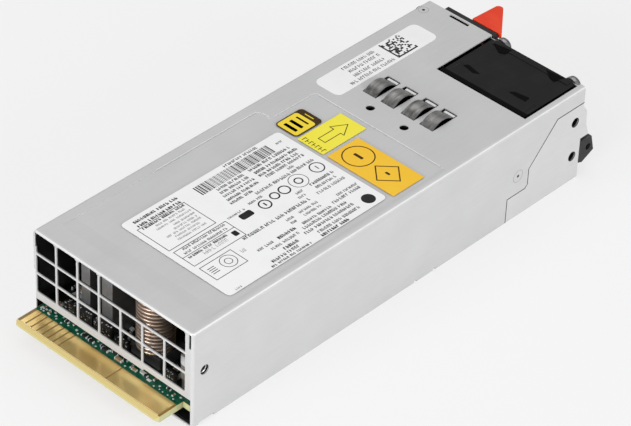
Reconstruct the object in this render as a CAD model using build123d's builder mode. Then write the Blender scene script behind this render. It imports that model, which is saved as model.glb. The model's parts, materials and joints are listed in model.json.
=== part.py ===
from build123d import *
import math
import os

os.makedirs("parts", exist_ok=True)

# A hot swap server power supply. Millimetres, +Z up, the card edge faces -Y, the handle +Y.

# Case: a bent sheet cover over a bent sheet base
case_width = 73.5
case_height = 39.0
case_length = 191.0
sheet = 0.8
bend_radius = 1.2
seam_gap = 0.2
fit_gap = 0.3

# How far the card edge, the latch tab and the latch's tooth stand out of the case
tongue_reach = 10.8
latch_reach = 16.2
catch_reach = 1.8

# The origin lies under the middle of the whole part, so the case is set off from it
mid_x = catch_reach / 2
front_y = -(case_length + latch_reach - tongue_reach) / 2
half_width = case_width / 2
inner_x = half_width - sheet
roof = case_height - sheet

# Air grille in the cover's front flange
window_columns = 7
narrow_columns = 3
grille_bar = 1.1
grille_left_bar = 0.5
grille_right_bar = 2.5
window_corner = 0.6
grille_foot = 11.5
grille_foot_step = 0.7
foot_step_columns = 5
grille_sill = 13.8
lower_bar_share = 0.316
upper_bar_share = 0.652
corner_slit_width = 0.9
corner_slit_height = 5.7

# Pressed label field on top of the cover
field_depth = 0.3
field_left_margin = 4.85
field_right_margin = 2.35
field_front = 8.0
field_rear = 120.5
field_jog_y = 98.5
field_jog_width = 6.2
field_radius = 1.2

# Grounding fingers that stand up through slots in the cover
finger_x = (-12.15, -3.78, 5.56, 14.1)
finger_width = 5.5
finger_front = 133.4
finger_length = 12.0
finger_rise = 1.9
finger_sheet = 0.3
slot_clearance = 0.4
strip_front = 122.0
strip_hole_y = 127.8
strip_hole_x = (-6.6, 9.0)
strip_hole_radius = 1.65

# Openings in the cover's rear end
fan_cut_margin = 1.45
fan_cut_front_margin = 0.9
hook_slot_margin = 16.25
hook_slot_width = 9.0
hook_slot_depth = 1.5
hook_slot_inset = 1.65
top_screw_margin = 3.05
top_screw_inset = 6.0

# Side walls
side_hole_y = 5.5
side_hole_z = 21.7
side_hole_radius = 1.9
edge_notch_y = 6.5
edge_notch_length = 7.0
mark_y = (106.0, 115.5)
mark_length = 1.4
ear_foot = 22.0
ear_depth = 2.6
side_screw_inset = 33.7
side_screw_z = 17.9
wing_hole_inset = 4.0
wing_hole_z = (25.6, 10.9)
wing_hole_radius = 1.75
flange_margin = 6.0

# Rear wings of the base, as distances in front of the rear face and heights
wing_length = 38.6
wing_step_length = 29.2
wing_slope_foot = 28.0
wing_slope_top = 14.2
wing_step_z = 10.2
wing_slope_foot_z = 18.0
wing_top_z = 32.3
wing_horn_reach = 4.2
wing_horn_foot = 16.6
wing_horn_top = 30.8
lip_height = 4.6
lap_width = 21.0
lap_height = 24.0

# Screws, and how many sides small round things get in this plain model
screw_head_radius = 2.5
screw_shank_radius = 1.45
screw_length = 4.5
side_screw_head_radius = 3.2
head_sink = 0.98
screw_sides = 20
small_sides = 12
can_sides = 24

# Main board and card edge
board_bottom = 5.5
board_thickness = 2.4
board_side_gap = 1.85
board_setback = 1.0
board_length = 158.0
tongue_right_margin = 4.85
tongue_chamfer = 1.4
tongue_corner = 1.0
pad_thickness = 0.12
pad_front_margin = 1.9
pad_rear = -1.6
power_pad_gap = 1.5
power_pad_margin = 1.6
power_pad_split = 6.8
pad_split_width = 0.5
signal_pad_margin = 2.4
signal_pad_pitch = 2.6
signal_pad_width = 1.7
signal_pad_count = 7
board_top = board_bottom + board_thickness
board_half_width = half_width - board_side_gap
tongue_right = half_width - tongue_right_margin
signal_pad_x = -board_half_width + signal_pad_margin

# Posts and screws that hold the board
post_radius = 2.6
post_bore = 1.25
post_margin = 3.9
post_y = (26.0, 151.0)
board_screw_head_radius = 2.4
board_screw_head = 1.4
board_screw_grip = 2.0
post_sides = 6
film_thickness = 0.4
film_front = 1.0
film_length = 160.0

# Fan at the rear right, as high as the case allows
fan_top_gap = 0.2
fan_side_gap = 3.0
fan_depth = 28.0
fan_flange = 2.8
intake_flange = 8.5
fan_bore_wall = 1.1
fan_hole_inset = 3.0
fan_hole_radius = 1.6
fan_corner_radius = 2.5
barrel_inset = 0.2
barrel_corner = 11.0
fan_hub_radius = 10.0
fan_tip_gap = 0.6
fan_blades = 7
blade_thickness = 1.0
blade_twist = 34.0
blade_depth = 13.0
hub_depth = 14.0
hub_wall = 1.4
shaft_radius = 1.0
bearing_radius = 2.4
shaft_clearance = 0.04
motor_radius = 7.6
motor_depth = 7.0
strut_width = 2.2
strut_depth = 2.5
strut_count = 4
vent_lip = 0.9
fan_size = case_height - sheet - fan_top_gap
fan_mid_x = inner_x - fan_side_gap - fan_size / 2
fan_mid_z = sheet + fan_size / 2
fan_rear = case_length - sheet
fan_front = fan_rear - fan_depth
fan_bore_radius = fan_size / 2 - fan_bore_wall
fan_hole_spacing = fan_size - 2 * fan_hole_inset
vent_radius = fan_bore_radius - vent_lip
fan_cut_left = fan_mid_x - fan_size / 2 - fan_cut_margin
fan_cut_right = fan_mid_x + fan_size / 2 + fan_cut_margin
fan_cut_depth = fan_depth + sheet + fan_cut_front_margin

# Guard over the fan, flattened wire welded in rings
guard_wire = 1.2
guard_ring_inset = 2.7
guard_ring_pitch = 4.4
guard_ring_count = 3
guard_eye_radius = 2.6
fan_screw_head = 1.2
guard_sides = 24
eye_sides = 12

# Mains inlet at the rear left
inlet_margin = 14.85
inlet_mid_z = 14.4
inlet_flange_width = 26.6
inlet_flange_height = 22.4
inlet_flange_depth = 2.4
inlet_body_width = 25.8
inlet_body_height = 19.8
inlet_body_depth = 21.0
socket_width = 24.0
socket_height = 16.8
socket_depth = 17.0
socket_corner = 4.6
inlet_radius = 2.4
blade_pin_width = 2.0
blade_pin_height = 4.0
blade_pin_reach = 15.0
blade_pin_tail = 4.0
side_pin_x = 7.0
side_pin_drop = 2.0
earth_pin_rise = 2.0
inlet_board_thickness = 1.6

# Latch housing over the inlet, and the release latch that slides across in it
bezel_margin = 7.05
bezel_width = 24.1
bezel_depth = 2.5
bezel_drop = 0.4
bezel_height = 11.6
bezel_corner = 0.5
shelf_setback = 25.0
shelf_thickness = 1.6
shelf_drop = 8.4
shelf_margin = 2.8
latch_travel = 4.0
latch_clearance = 0.2
latch_drop = 5.6
latch_thickness = 3.0
bar_margin = 2.55
bar_setback = 16.6
bar_width = 7.8
rail_width = 1.6
rail_margin = 4.75
latch_neck_inset = 2.7
latch_neck_width = 4.4
tab_inset = 11.4
tab_width = 13.9
tab_gap = 0.4
tab_tip_width = 1.6
tab_tip_radius = 1.6
tab_plate = 2.0
tab_wall = 2.0
tab_drop = 0.2
tab_height = 10.8
catch_inset = 0.6
catch_ramp_length = 5.6
catch_length = 7.0
catch_root = 1.6
window_margin = 0.5
inlet_mid_x = -half_width + inlet_margin
bezel_left = -half_width + bezel_margin
bezel_right = bezel_left + bezel_width
bezel_top = case_height - bezel_drop
bezel_foot = bezel_top - bezel_height
shelf_front = case_length - shelf_setback
shelf_top = case_height - shelf_drop
latch_bottom = case_height - latch_drop
bar_left = -half_width + bar_margin
bar_front = case_length - bar_setback
rail_left = -half_width + rail_margin
tab_left = bezel_left + tab_inset
tab_right = tab_left + tab_width
tab_top = case_height - tab_drop
tab_foot = tab_top - tab_height
latch_neck_x = tab_left + latch_neck_inset
catch_front = bar_front + catch_inset
catch_ramp = catch_front + catch_ramp_length
catch_rear = catch_front + catch_length

# Latch return spring, a folded leaf between the latch bar and a rib of the housing
pocket_inset = 5.8
pocket_left = bar_left + pocket_inset
pocket_length = 10.6
pocket_width = 4.2
rib_thickness = 1.4
leaf_sheet = 0.3
leaf_folds = 6

# Folding handle over the fan
handle_pivot_reach = 5.0
handle_pivot_z = 10.6
handle_arm_width = 3.2
handle_arm_depth = 3.2
handle_width = 33.3
handle_drop = 7.5
handle_grip = 4.0
handle_corner = 5.0
handle_bevel = 0.8
handle_pin_radius = 1.2
handle_pin_inset = 1.2
handle_left = fan_mid_x - handle_width / 2
handle_right = fan_mid_x + handle_width / 2
handle_top = case_height - handle_drop
handle_pin_clearance = 0.05
foot_gap = 0.3
foot_boss = 2.4
foot_boss_radius = 2.3
foot_width = 3.0
foot_profile = ((0.0, 14.9), (4.9, 16.1), (6.6, 14.5), (8.3, 7.9), (2.3, 5.1), (0.0, 5.9))

# Status light in the latch housing
light_inset = 4.3
light_drop = 3.6
light_radius = 1.3
light_depth = 6.0
light_stand = 0.4
light_bevel = 0.35
light_x = bezel_left + light_inset
light_z = bezel_top - light_drop

# Output coil, flat copper wound on edge round a ferrite post
coil_x = 12.7
coil_y = 14.0
coil_radius = 11.0
coil_bore = 6.4
coil_turns = 9
coil_sides = 20
turn_pitch = 2.2
turn_thickness = 1.4
coil_core_plate = 1.8
coil_core_radius = 6.0

# Heat sinks behind the grille
sink_x = (-20.4, -10.8)
sink_flange = (4.0, 4.9)
sink_sheet = 1.9
sink_front = 6.0
sink_length = 48.0
sink_height = 26.0

# Larger parts on the board
transformer_x = 10.0
transformer_y = 52.0
transformer_width = 30.0
transformer_depth = 26.0
transformer_height = 24.0
core_leg = 6.5
winding_radius = 10.5
bulk_cap_radius = 11.0
bulk_cap_height = 28.0
bulk_cap_margin = 15.75
bulk_cap_y = (72.0, 96.0)
can_bevel = 0.8
choke_x = 5.0
choke_y = 88.0
choke_radius = 12.5
choke_bore = 6.0
choke_height = 13.0
choke_wire = 1.3
wire_turns = 14
pfc_sink_margin = 12.75
pfc_sink_y = 78.0
pfc_sink_length = 52.0
filter_choke_x = -1.0
filter_choke_y = 118.0
filter_cap_x = -23.4
filter_cap_y = 123.0
filter_cap_size = (20.0, 9.0, 16.0)
relay_x = 12.0
relay_y = 138.0
relay_size = (12.0, 16.0, 12.0)
fuse_x = -4.0
fuse_y = 142.0
fuse_radius = 2.6
fuse_length = 20.0
small_cap_radius = 4.0
small_cap_height = 13.0
small_cap_y = (8.0, 17.2, 35.0, 44.2)
small_cap_margin = 5.1
small_can_bevel = 0.5
control_board_margin = 4.35
control_board_y = 57.0
control_board_length = 50.0
control_board_height = 22.0
control_board_thickness = 1.6
post_x = board_half_width - post_margin
bulk_cap_x = -half_width + bulk_cap_margin
pfc_sink_x = half_width - pfc_sink_margin
small_cap_x = board_half_width - small_cap_margin
control_board_x = -half_width + control_board_margin


def level(z):
    """Flat plane at height z, its origin over the middle of the case's front edge."""
    return Plane(origin=(mid_x, front_y, z))


def across(y):
    """Upright plane at distance y behind the front face: local x is X, local y is Z."""
    return Plane(origin=(mid_x, front_y + y, 0), x_dir=(1, 0, 0), z_dir=(0, -1, 0))


def along(x):
    """Upright plane at x from the middle: local x is Y from the front face, local y is Z."""
    return Plane(origin=(mid_x + x, front_y, 0), x_dir=(0, 1, 0), z_dir=(1, 0, 0))


def block(x, y, z, mode=Mode.ADD):
    """Cuboid from (low, high) pairs, measured from the middle of the case's front edge."""
    with BuildSketch(level(z[0])) as profile:
        with Locations(((x[0] + x[1]) / 2, (y[0] + y[1]) / 2)):
            Rectangle(x[1] - x[0], y[1] - y[0])
    extrude(profile.sketch, amount=z[1] - z[0], mode=mode)


def disc(radius, sides):
    """Round outline, or a regular one where a count of sides is given."""
    return RegularPolygon(radius, sides) if sides else Circle(radius)


def round_post(x, y, radius, z, mode=Mode.ADD, sides=0):
    """Upright cylinder at (x, y) between the two heights in z."""
    with BuildSketch(level(z[0])) as profile:
        with Locations((x, y)):
            disc(radius, sides)
    extrude(profile.sketch, amount=z[1] - z[0], mode=mode)


def side_bore(y, z, radius, x_from, x_to, mode=Mode.SUBTRACT, sides=0):
    """Cylinder along X at (y, z)."""
    with BuildSketch(along(x_from)) as profile:
        with Locations((y, z)):
            disc(radius, sides)
    extrude(profile.sketch, amount=x_to - x_from, mode=mode)


def rear_bore(x, z, radius, y_from, y_to, mode=Mode.SUBTRACT, sides=0):
    """Cylinder along Y at (x, z), from y_from back to y_to."""
    with BuildSketch(across(y_to)) as profile:
        with Locations((x, z)):
            disc(radius, sides)
    extrude(profile.sketch, amount=y_to - y_from, mode=mode)


def screw_cone(wall, radius, mode=Mode.ADD):
    """Countersunk head, or its seat, sunk into a sheet from its outer face."""
    with BuildSketch(wall) as profile:
        RegularPolygon(radius, screw_sides)
    extrude(profile.sketch, amount=-sheet * head_sink, taper=45, mode=mode)


def faceted_ring(x, z, outer, inner, sides, y_from, y_to):
    """Flat ring round (x, z) on the rear, from y_from back to y_to."""
    with BuildSketch(across(y_to)) as profile:
        with Locations((x, z)):
            RegularPolygon(outer, sides)
            RegularPolygon(inner, sides, mode=Mode.SUBTRACT)
    extrude(profile.sketch, amount=y_to - y_from)


def wing_outline(x, grow):
    """Side outline of a rear wing at x, grown by a gap where the cover is cut round it."""
    rear = case_length
    with BuildSketch(along(x)) as wing:
        with BuildLine():
            Polyline(
                (rear + grow, -grow),
                (rear - wing_length - grow, -grow),
                (rear - wing_length - grow, wing_step_z + grow),
                (rear - wing_step_length - grow, wing_step_z + grow),
                (rear - wing_slope_foot - grow, wing_step_z + wing_step_length - wing_slope_foot),
                (rear - wing_slope_foot - grow, wing_slope_foot_z + grow / 2),
                (rear - wing_slope_top - grow, wing_top_z + grow),
                (rear + grow, wing_top_z + grow),
                close=True,
            )
        make_face()
    return wing.sketch


# Cover: top, two side walls and the grille flange, bent from one sheet
with BuildPart() as top_cover:
    with BuildSketch(across(case_length)) as channel:
        with Locations((0, case_height / 2)):
            Rectangle(case_width, case_height)
        fillet(channel.vertices().group_by(Axis.Y)[-1], bend_radius)
        with Locations((0, roof / 2)):
            Rectangle(2 * inner_x, roof, mode=Mode.SUBTRACT)
    extrude(amount=case_length)
    block((-inner_x, inner_x), (0, sheet), (grille_foot, roof))
    window_width = (
        2 * inner_x - grille_left_bar - grille_right_bar - (window_columns - 1) * grille_bar
    ) / window_columns
    window_pitch = window_width + grille_bar
    first_x = -inner_x + grille_left_bar - grille_bar / 2
    foot_step_x = first_x + window_pitch * foot_step_columns + grille_bar / 2
    block((-inner_x, foot_step_x), (0, sheet), (grille_foot - grille_foot_step, grille_foot))
    front_bend = top_cover.edges().filter_by(Axis.X).group_by(Axis.Y)[0].sort_by(Axis.Z)[-1]
    fillet(front_bend, bend_radius)

    # Windows: three rows, the right end of the top row left open in one
    lower_bar_z = grille_sill + lower_bar_share * (roof - grille_sill)
    upper_bar_z = grille_sill + upper_bar_share * (roof - grille_sill)
    rows = (
        (grille_sill, lower_bar_z - grille_bar / 2),
        (lower_bar_z + grille_bar / 2, upper_bar_z - grille_bar / 2),
        (upper_bar_z + grille_bar / 2, roof),
    )
    wide_columns = window_columns - narrow_columns
    with BuildSketch(across(sheet)) as windows:
        for row, (low, high) in enumerate(rows):
            single = window_columns if row < 2 else narrow_columns
            for column in range(single):
                with Locations((first_x + window_pitch * (column + 0.5), (low + high) / 2)):
                    Rectangle(window_width, high - low)
        wide_x = first_x + window_pitch * (narrow_columns + wide_columns / 2)
        with Locations((wide_x, (rows[2][0] + rows[2][1]) / 2)):
            Rectangle(window_pitch * wide_columns - grille_bar, rows[2][1] - rows[2][0])
        chamfer(windows.vertices(), window_corner)
    extrude(amount=sheet, mode=Mode.SUBTRACT)
    for side in (-1, 1):
        slit = sorted((side * inner_x, side * (inner_x - corner_slit_width)))
        block(slit, (0, sheet), (roof - corner_slit_height, roof), Mode.SUBTRACT)

    # Label field, finger slots, fan cut-out and hook slot
    field_left = -half_width + field_left_margin
    field_right = half_width - field_right_margin
    field_jog_x = field_left + field_jog_width
    top_screw_x = -half_width + top_screw_margin
    hook_slot_mid_x = -half_width + hook_slot_margin
    with BuildSketch(level(case_height)) as field:
        with BuildLine():
            Polyline(
                (field_left, field_front),
                (field_right, field_front),
                (field_right, field_rear),
                (field_jog_x, field_rear),
                (field_jog_x, field_jog_y),
                (field_left, field_jog_y),
                close=True,
            )
        make_face()
        fillet(field.vertices(), field_radius)
    extrude(amount=-field_depth, mode=Mode.SUBTRACT)
    slot_width = finger_width + 2 * slot_clearance
    for x in finger_x:
        slot_rear = finger_front + finger_length + 2 * slot_clearance
        block(
            (x - slot_width / 2, x + slot_width / 2),
            (finger_front - slot_clearance, slot_rear),
            (roof, case_height),
            Mode.SUBTRACT,
        )
    for x in strip_hole_x:
        hole_z = (roof, case_height)
        round_post(x, strip_hole_y, strip_hole_radius, hole_z, Mode.SUBTRACT, screw_sides)
    block(
        (fan_cut_left, fan_cut_right),
        (case_length - fan_cut_depth, case_length),
        (roof, case_height),
        Mode.SUBTRACT,
    )
    hook_y = case_length - hook_slot_inset
    block(
        (hook_slot_mid_x - hook_slot_width / 2, hook_slot_mid_x + hook_slot_width / 2),
        (hook_y - hook_slot_depth / 2, hook_y + hook_slot_depth / 2),
        (roof, case_height),
        Mode.SUBTRACT,
    )
    top_screw = Plane(
        origin=(mid_x + top_screw_x, front_y + case_length - top_screw_inset, case_height)
    )
    screw_cone(top_screw, screw_head_radius, Mode.SUBTRACT)
    round_post(
        top_screw_x,
        case_length - top_screw_inset,
        screw_head_radius - sheet,
        (roof, case_height),
        Mode.SUBTRACT,
        screw_sides,
    )

    # Side walls: seam round the wings, screw holes, notches and the lead-in ear
    extrude(wing_outline(-half_width, seam_gap), amount=case_width, mode=Mode.SUBTRACT)
    side_bore(
        side_hole_y, side_hole_z, side_hole_radius, -half_width, half_width, sides=screw_sides
    )
    screw_y = case_length - side_screw_inset
    side_screws = [
        Plane(
            origin=(mid_x + side * half_width, front_y + screw_y, side_screw_z),
            z_dir=(side, 0, 0),
        )
        for side in (-1, 1)
    ]
    for wall in side_screws:
        screw_cone(wall, side_screw_head_radius, Mode.SUBTRACT)
    seat = side_screw_head_radius - sheet
    side_bore(screw_y, side_screw_z, seat, -half_width, half_width, sides=screw_sides)
    notches = [(edge_notch_y, edge_notch_length)] + [(y, mark_length) for y in mark_y]
    for y, length in notches:
        block(
            (inner_x, half_width),
            (y - length / 2, y + length / 2),
            (0, sheet),
            Mode.SUBTRACT,
        )
    block(
        (-half_width, -inner_x),
        (catch_front - window_margin, catch_rear + window_margin),
        (latch_bottom - latch_clearance, latch_bottom + latch_thickness + window_margin),
        Mode.SUBTRACT,
    )
    with BuildSketch(level(ear_foot)):
        with BuildLine():
            Polyline(
                (-half_width, sheet),
                (-half_width - sheet, sheet),
                (-half_width - sheet, ear_depth - sheet),
                (-half_width, ear_depth),
                close=True,
            )
        make_face()
    extrude(amount=roof - bend_radius - ear_foot)

# Base: floor, inner lips, and rear wings that lie flush with the cover's walls
with BuildPart() as base_pan:
    wing_front = case_length - wing_length
    block((-inner_x, inner_x), (0, case_length), (0, sheet))
    for side in (-1, 1):
        lip_x = sorted((side * inner_x, side * (inner_x - sheet)))
        wing_x = sorted((side * inner_x, side * half_width))
        block(lip_x, (ear_depth, wing_front), (sheet, lip_height))
        extrude(wing_outline(wing_x[0], 0), amount=sheet)
        lap_y = (wing_front, wing_front + lap_width)
        block(lip_x, lap_y, (sheet, lap_height))
        for z in wing_hole_z:
            side_bore(case_length - wing_hole_inset, z, wing_hole_radius, wing_x[0], wing_x[1])
        side_bore(
            screw_y, side_screw_z, screw_shank_radius, lip_x[0], lip_x[1], sides=small_sides
        )
    horn_rear = case_length + wing_horn_reach
    with BuildSketch(along(inner_x)):
        with BuildLine():
            Polyline(
                (case_length, wing_horn_top),
                (case_length + wing_horn_reach * 0.52, wing_horn_top - 2.8),
                (case_length + wing_horn_reach * 0.6, wing_horn_foot + 5.2),
                (horn_rear, wing_horn_foot + fit_gap),
                (horn_rear - fit_gap, wing_horn_foot),
                (case_length, wing_horn_foot),
                close=True,
            )
        make_face()
    extrude(amount=sheet)

# Rear panel with the vent, the inlet opening and the latch slot
neck_left = latch_neck_x - latch_neck_width / 2
neck_right = latch_neck_x + latch_neck_width / 2
neck_slot_left = neck_left - window_margin
neck_slot_right = neck_right + latch_travel + window_margin
latch_top = latch_bottom + latch_thickness
neck_slot_z = (latch_bottom - latch_clearance, latch_top + latch_clearance)
fan_corner_x = (fan_mid_x - fan_hole_spacing / 2, fan_mid_x + fan_hole_spacing / 2)
fan_corner_z = (fan_mid_z - fan_hole_spacing / 2, fan_mid_z + fan_hole_spacing / 2)
with BuildPart() as rear_panel:
    block((-inner_x, inner_x), (fan_rear, case_length), (sheet, roof))
    block(
        (fan_cut_left, fan_cut_right),
        (fan_rear, case_length),
        (roof - sheet / 2, roof),
        Mode.SUBTRACT,
    )
    rear_bore(fan_mid_x, fan_mid_z, vent_radius, fan_rear, case_length)
    for x in fan_corner_x:
        for z in fan_corner_z:
            rear_bore(x, z, fan_hole_radius, fan_rear, case_length, sides=small_sides)
    half_body = inlet_body_width / 2 + fit_gap / 2
    half_tall = inlet_body_height / 2 + fit_gap / 2
    block(
        (inlet_mid_x - half_body, inlet_mid_x + half_body),
        (fan_rear, case_length),
        (inlet_mid_z - half_tall, inlet_mid_z + half_tall),
        Mode.SUBTRACT,
    )
    block((neck_slot_left, neck_slot_right), (fan_rear, case_length), neck_slot_z, Mode.SUBTRACT)
    light_hole = light_radius + fit_gap / 3
    rear_bore(light_x, light_z, light_hole, fan_rear, case_length, sides=screw_sides)
    block(
        (bezel_left + shelf_margin - latch_clearance, bezel_right - shelf_margin + latch_clearance),
        (fan_rear, case_length),
        (shelf_top - shelf_thickness - latch_clearance, shelf_top + latch_clearance),
        Mode.SUBTRACT,
    )
    tab_front = case_length - 2 * top_screw_inset
    block((-inner_x, top_screw_x + screw_head_radius), (tab_front, fan_rear), (roof - sheet, roof))
    round_post(
        top_screw_x,
        case_length - top_screw_inset,
        screw_shank_radius,
        (roof - sheet, roof),
        Mode.SUBTRACT,
        small_sides,
    )
    flange_front = case_length - wing_hole_inset - flange_margin
    for side in (-1, 1):
        flange_x = sorted((side * inner_x, side * (inner_x - sheet)))
        block(flange_x, (flange_front, fan_rear), (sheet, wing_top_z))
        for z in wing_hole_z:
            side_bore(
                case_length - wing_hole_inset, z, wing_hole_radius, flange_x[0], flange_x[1]
            )

# Countersunk screws: one in the top, one in each side
with BuildPart() as case_screws:
    tip_radius = screw_shank_radius - fit_gap / 3
    screw_cone(top_screw, screw_head_radius)
    round_post(
        top_screw_x,
        case_length - top_screw_inset,
        tip_radius,
        (case_height - screw_length, case_height - sheet / 2),
        sides=small_sides,
    )
    for wall in side_screws:
        screw_cone(wall, side_screw_head_radius)
        with BuildSketch(wall):
            RegularPolygon(tip_radius, small_sides)
        extrude(amount=-screw_length)

# Grounding strip: a thin plate under the cover with four arched fingers
with BuildPart() as grounding_strip:
    strip_rear = finger_front + finger_length + strip_hole_radius * 2
    block(
        (finger_x[0] - finger_width, finger_x[-1] + finger_width),
        (strip_front, strip_rear),
        (roof - finger_sheet, roof),
    )
    for x in finger_x:
        block(
            (x - slot_width / 2, x + slot_width / 2),
            (finger_front + slot_clearance, finger_front + finger_length + slot_clearance),
            (roof - finger_sheet, roof),
            Mode.SUBTRACT,
        )
    for x in strip_hole_x:
        hole_z = (roof - finger_sheet, roof)
        round_post(x, strip_hole_y, strip_hole_radius, hole_z, Mode.SUBTRACT, screw_sides)
    peak = case_height + finger_rise
    for x in finger_x:
        with BuildSketch(along(x - finger_width / 2)):
            with BuildLine() as arch:
                rise = ThreePointArc(
                    (finger_front, roof - finger_sheet),
                    (finger_front + finger_length * 0.45, peak - finger_sheet),
                    (finger_front + finger_length * 0.95, roof - finger_sheet * 2),
                )
                fall = ThreePointArc(
                    (finger_front - finger_sheet, roof),
                    (finger_front + finger_length * 0.45, peak),
                    (finger_front + finger_length * 0.95 + finger_sheet, roof - finger_sheet * 2),
                )
                Line(rise @ 0, fall @ 0)
                Line(rise @ 1, fall @ 1)
            make_face()
        extrude(amount=finger_width)

# Main board with the card edge
with BuildPart() as main_board:
    board_rear = board_setback + board_length
    with BuildSketch(level(board_bottom)) as outline:
        with BuildLine():
            Polyline(
                (-board_half_width, -tongue_reach + tongue_corner),
                (-board_half_width + tongue_corner, -tongue_reach),
                (tongue_right - tongue_corner, -tongue_reach),
                (tongue_right, -tongue_reach + tongue_corner),
                (tongue_right, board_setback),
                (board_half_width, board_setback),
                (board_half_width, board_rear),
                (-board_half_width, board_rear),
                close=True,
            )
        make_face()
        with Locations(*[(side * post_x, y) for side in (-1, 1) for y in post_y]):
            RegularPolygon(post_bore + fit_gap, small_sides, mode=Mode.SUBTRACT)
    extrude(amount=board_thickness)
    tip_edges = main_board.edges().filter_by(Axis.X).group_by(Axis.Y)[0]
    chamfer(tip_edges, board_thickness * 0.36, tongue_chamfer)

# Gold faces of the card edge, on both sides of the board
pad_front = -tongue_reach + pad_front_margin
pad_levels = ((board_top, pad_thickness), (board_bottom - pad_thickness, pad_thickness))
with BuildPart() as power_pads:
    for z, height in pad_levels:
        signal_end = signal_pad_x + (signal_pad_count - 1) * signal_pad_pitch
        power_pad_left = signal_end + signal_pad_width / 2 + power_pad_gap
        power_pad_right = tongue_right - power_pad_margin
        left_pad = (power_pad_left, power_pad_split - pad_split_width / 2)
        right_pad = (power_pad_split + pad_split_width / 2, power_pad_right)
        for pad in (left_pad, right_pad):
            block(pad, (pad_front, pad_rear), (z, z + height))
with BuildPart() as signal_pads:
    for z, height in pad_levels:
        for count in range(signal_pad_count):
            x = signal_pad_x + count * signal_pad_pitch
            block(
                (x - signal_pad_width / 2, x + signal_pad_width / 2),
                (pad_front, pad_rear),
                (z, z + height),
            )

# Insulating film on the base's floor, board posts and board screws
with BuildPart() as insulating_film:
    block(
        (-inner_x + sheet, inner_x - sheet),
        (film_front, film_front + film_length),
        (sheet, sheet + film_thickness),
    )
    for side in (-1, 1):
        for y in post_y:
            round_post(
                side * post_x,
                y,
                post_radius + fit_gap,
                (sheet, sheet + film_thickness),
                Mode.SUBTRACT,
                post_sides,
            )
with BuildPart() as board_posts:
    for side in (-1, 1):
        for y in post_y:
            post_z = (sheet, board_bottom)
            round_post(side * post_x, y, post_radius, post_z, sides=post_sides)
            round_post(side * post_x, y, post_bore, post_z, Mode.SUBTRACT, small_sides)
with BuildPart() as board_screws:
    for side in (-1, 1):
        for y in post_y:
            head_top = board_top + board_screw_head
            head_z = (board_top, head_top)
            round_post(side * post_x, y, board_screw_head_radius, head_z, sides=screw_sides)
            shank = post_bore - fit_gap / 2
            shank_z = (board_bottom - board_screw_grip, board_top)
            round_post(side * post_x, y, shank, shank_z, sides=small_sides)

# Fan frame: a deep intake flange, a squarish barrel, a thin rear flange and the motor's struts
with BuildPart() as fan_frame:
    with BuildSketch(across(fan_rear)) as square:
        with Locations((fan_mid_x, fan_mid_z)):
            RectangleRounded(fan_size, fan_size, fan_corner_radius)
    extrude(amount=fan_flange)
    with BuildSketch(across(fan_front + intake_flange)):
        with Locations((fan_mid_x, fan_mid_z)):
            RectangleRounded(fan_size, fan_size, fan_corner_radius)
    extrude(amount=intake_flange)
    barrel_side = fan_size - 2 * barrel_inset
    with BuildSketch(across(fan_rear)):
        with Locations((fan_mid_x, fan_mid_z)):
            RectangleRounded(barrel_side, barrel_side, barrel_corner)
    extrude(amount=fan_depth)
    rear_bore(fan_mid_x, fan_mid_z, fan_bore_radius, fan_front, fan_rear)
    for x in fan_corner_x:
        for z in fan_corner_z:
            rear_bore(x, z, fan_hole_radius, fan_rear - fan_flange, fan_rear, sides=small_sides)
    rear_bore(fan_mid_x, fan_mid_z, fan_hub_radius, fan_rear - strut_depth, fan_rear, Mode.ADD)
    with BuildSketch(across(fan_rear)):
        with Locations((fan_mid_x, fan_mid_z)):
            with PolarLocations((fan_hub_radius + fan_bore_radius) / 2, strut_count, 45):
                Rectangle(fan_bore_radius - fan_hub_radius + 1.0, strut_width)
    extrude(amount=strut_depth)
    tube_front = fan_rear - strut_depth - hub_depth * 0.7
    rear_bore(fan_mid_x, fan_mid_z, bearing_radius + hub_wall, tube_front, fan_rear, Mode.ADD)
    rear_bore(fan_mid_x, fan_mid_z, bearing_radius, tube_front, fan_rear - hub_wall)

# Sleeve bearing and motor winding inside the fan
with BuildPart() as fan_bearing:
    rear_bore(fan_mid_x, fan_mid_z, bearing_radius, tube_front, fan_rear - hub_wall, Mode.ADD)
    running = shaft_radius + shaft_clearance
    rear_bore(fan_mid_x, fan_mid_z, running, tube_front, fan_rear - hub_wall)
with BuildPart() as fan_motor:
    motor_rear = fan_rear - strut_depth - fit_gap
    with BuildSketch(across(motor_rear)):
        with Locations((fan_mid_x, fan_mid_z)):
            Circle(bearing_radius + hub_wall + 1.6)
            with PolarLocations(motor_radius * 0.55, 4):
                Rectangle(motor_radius * 0.8, 3.2)
            with PolarLocations(motor_radius - 0.6, 4):
                Rectangle(1.2, 8.0)
            Circle(bearing_radius + hub_wall, mode=Mode.SUBTRACT)
    extrude(amount=motor_depth)

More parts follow.
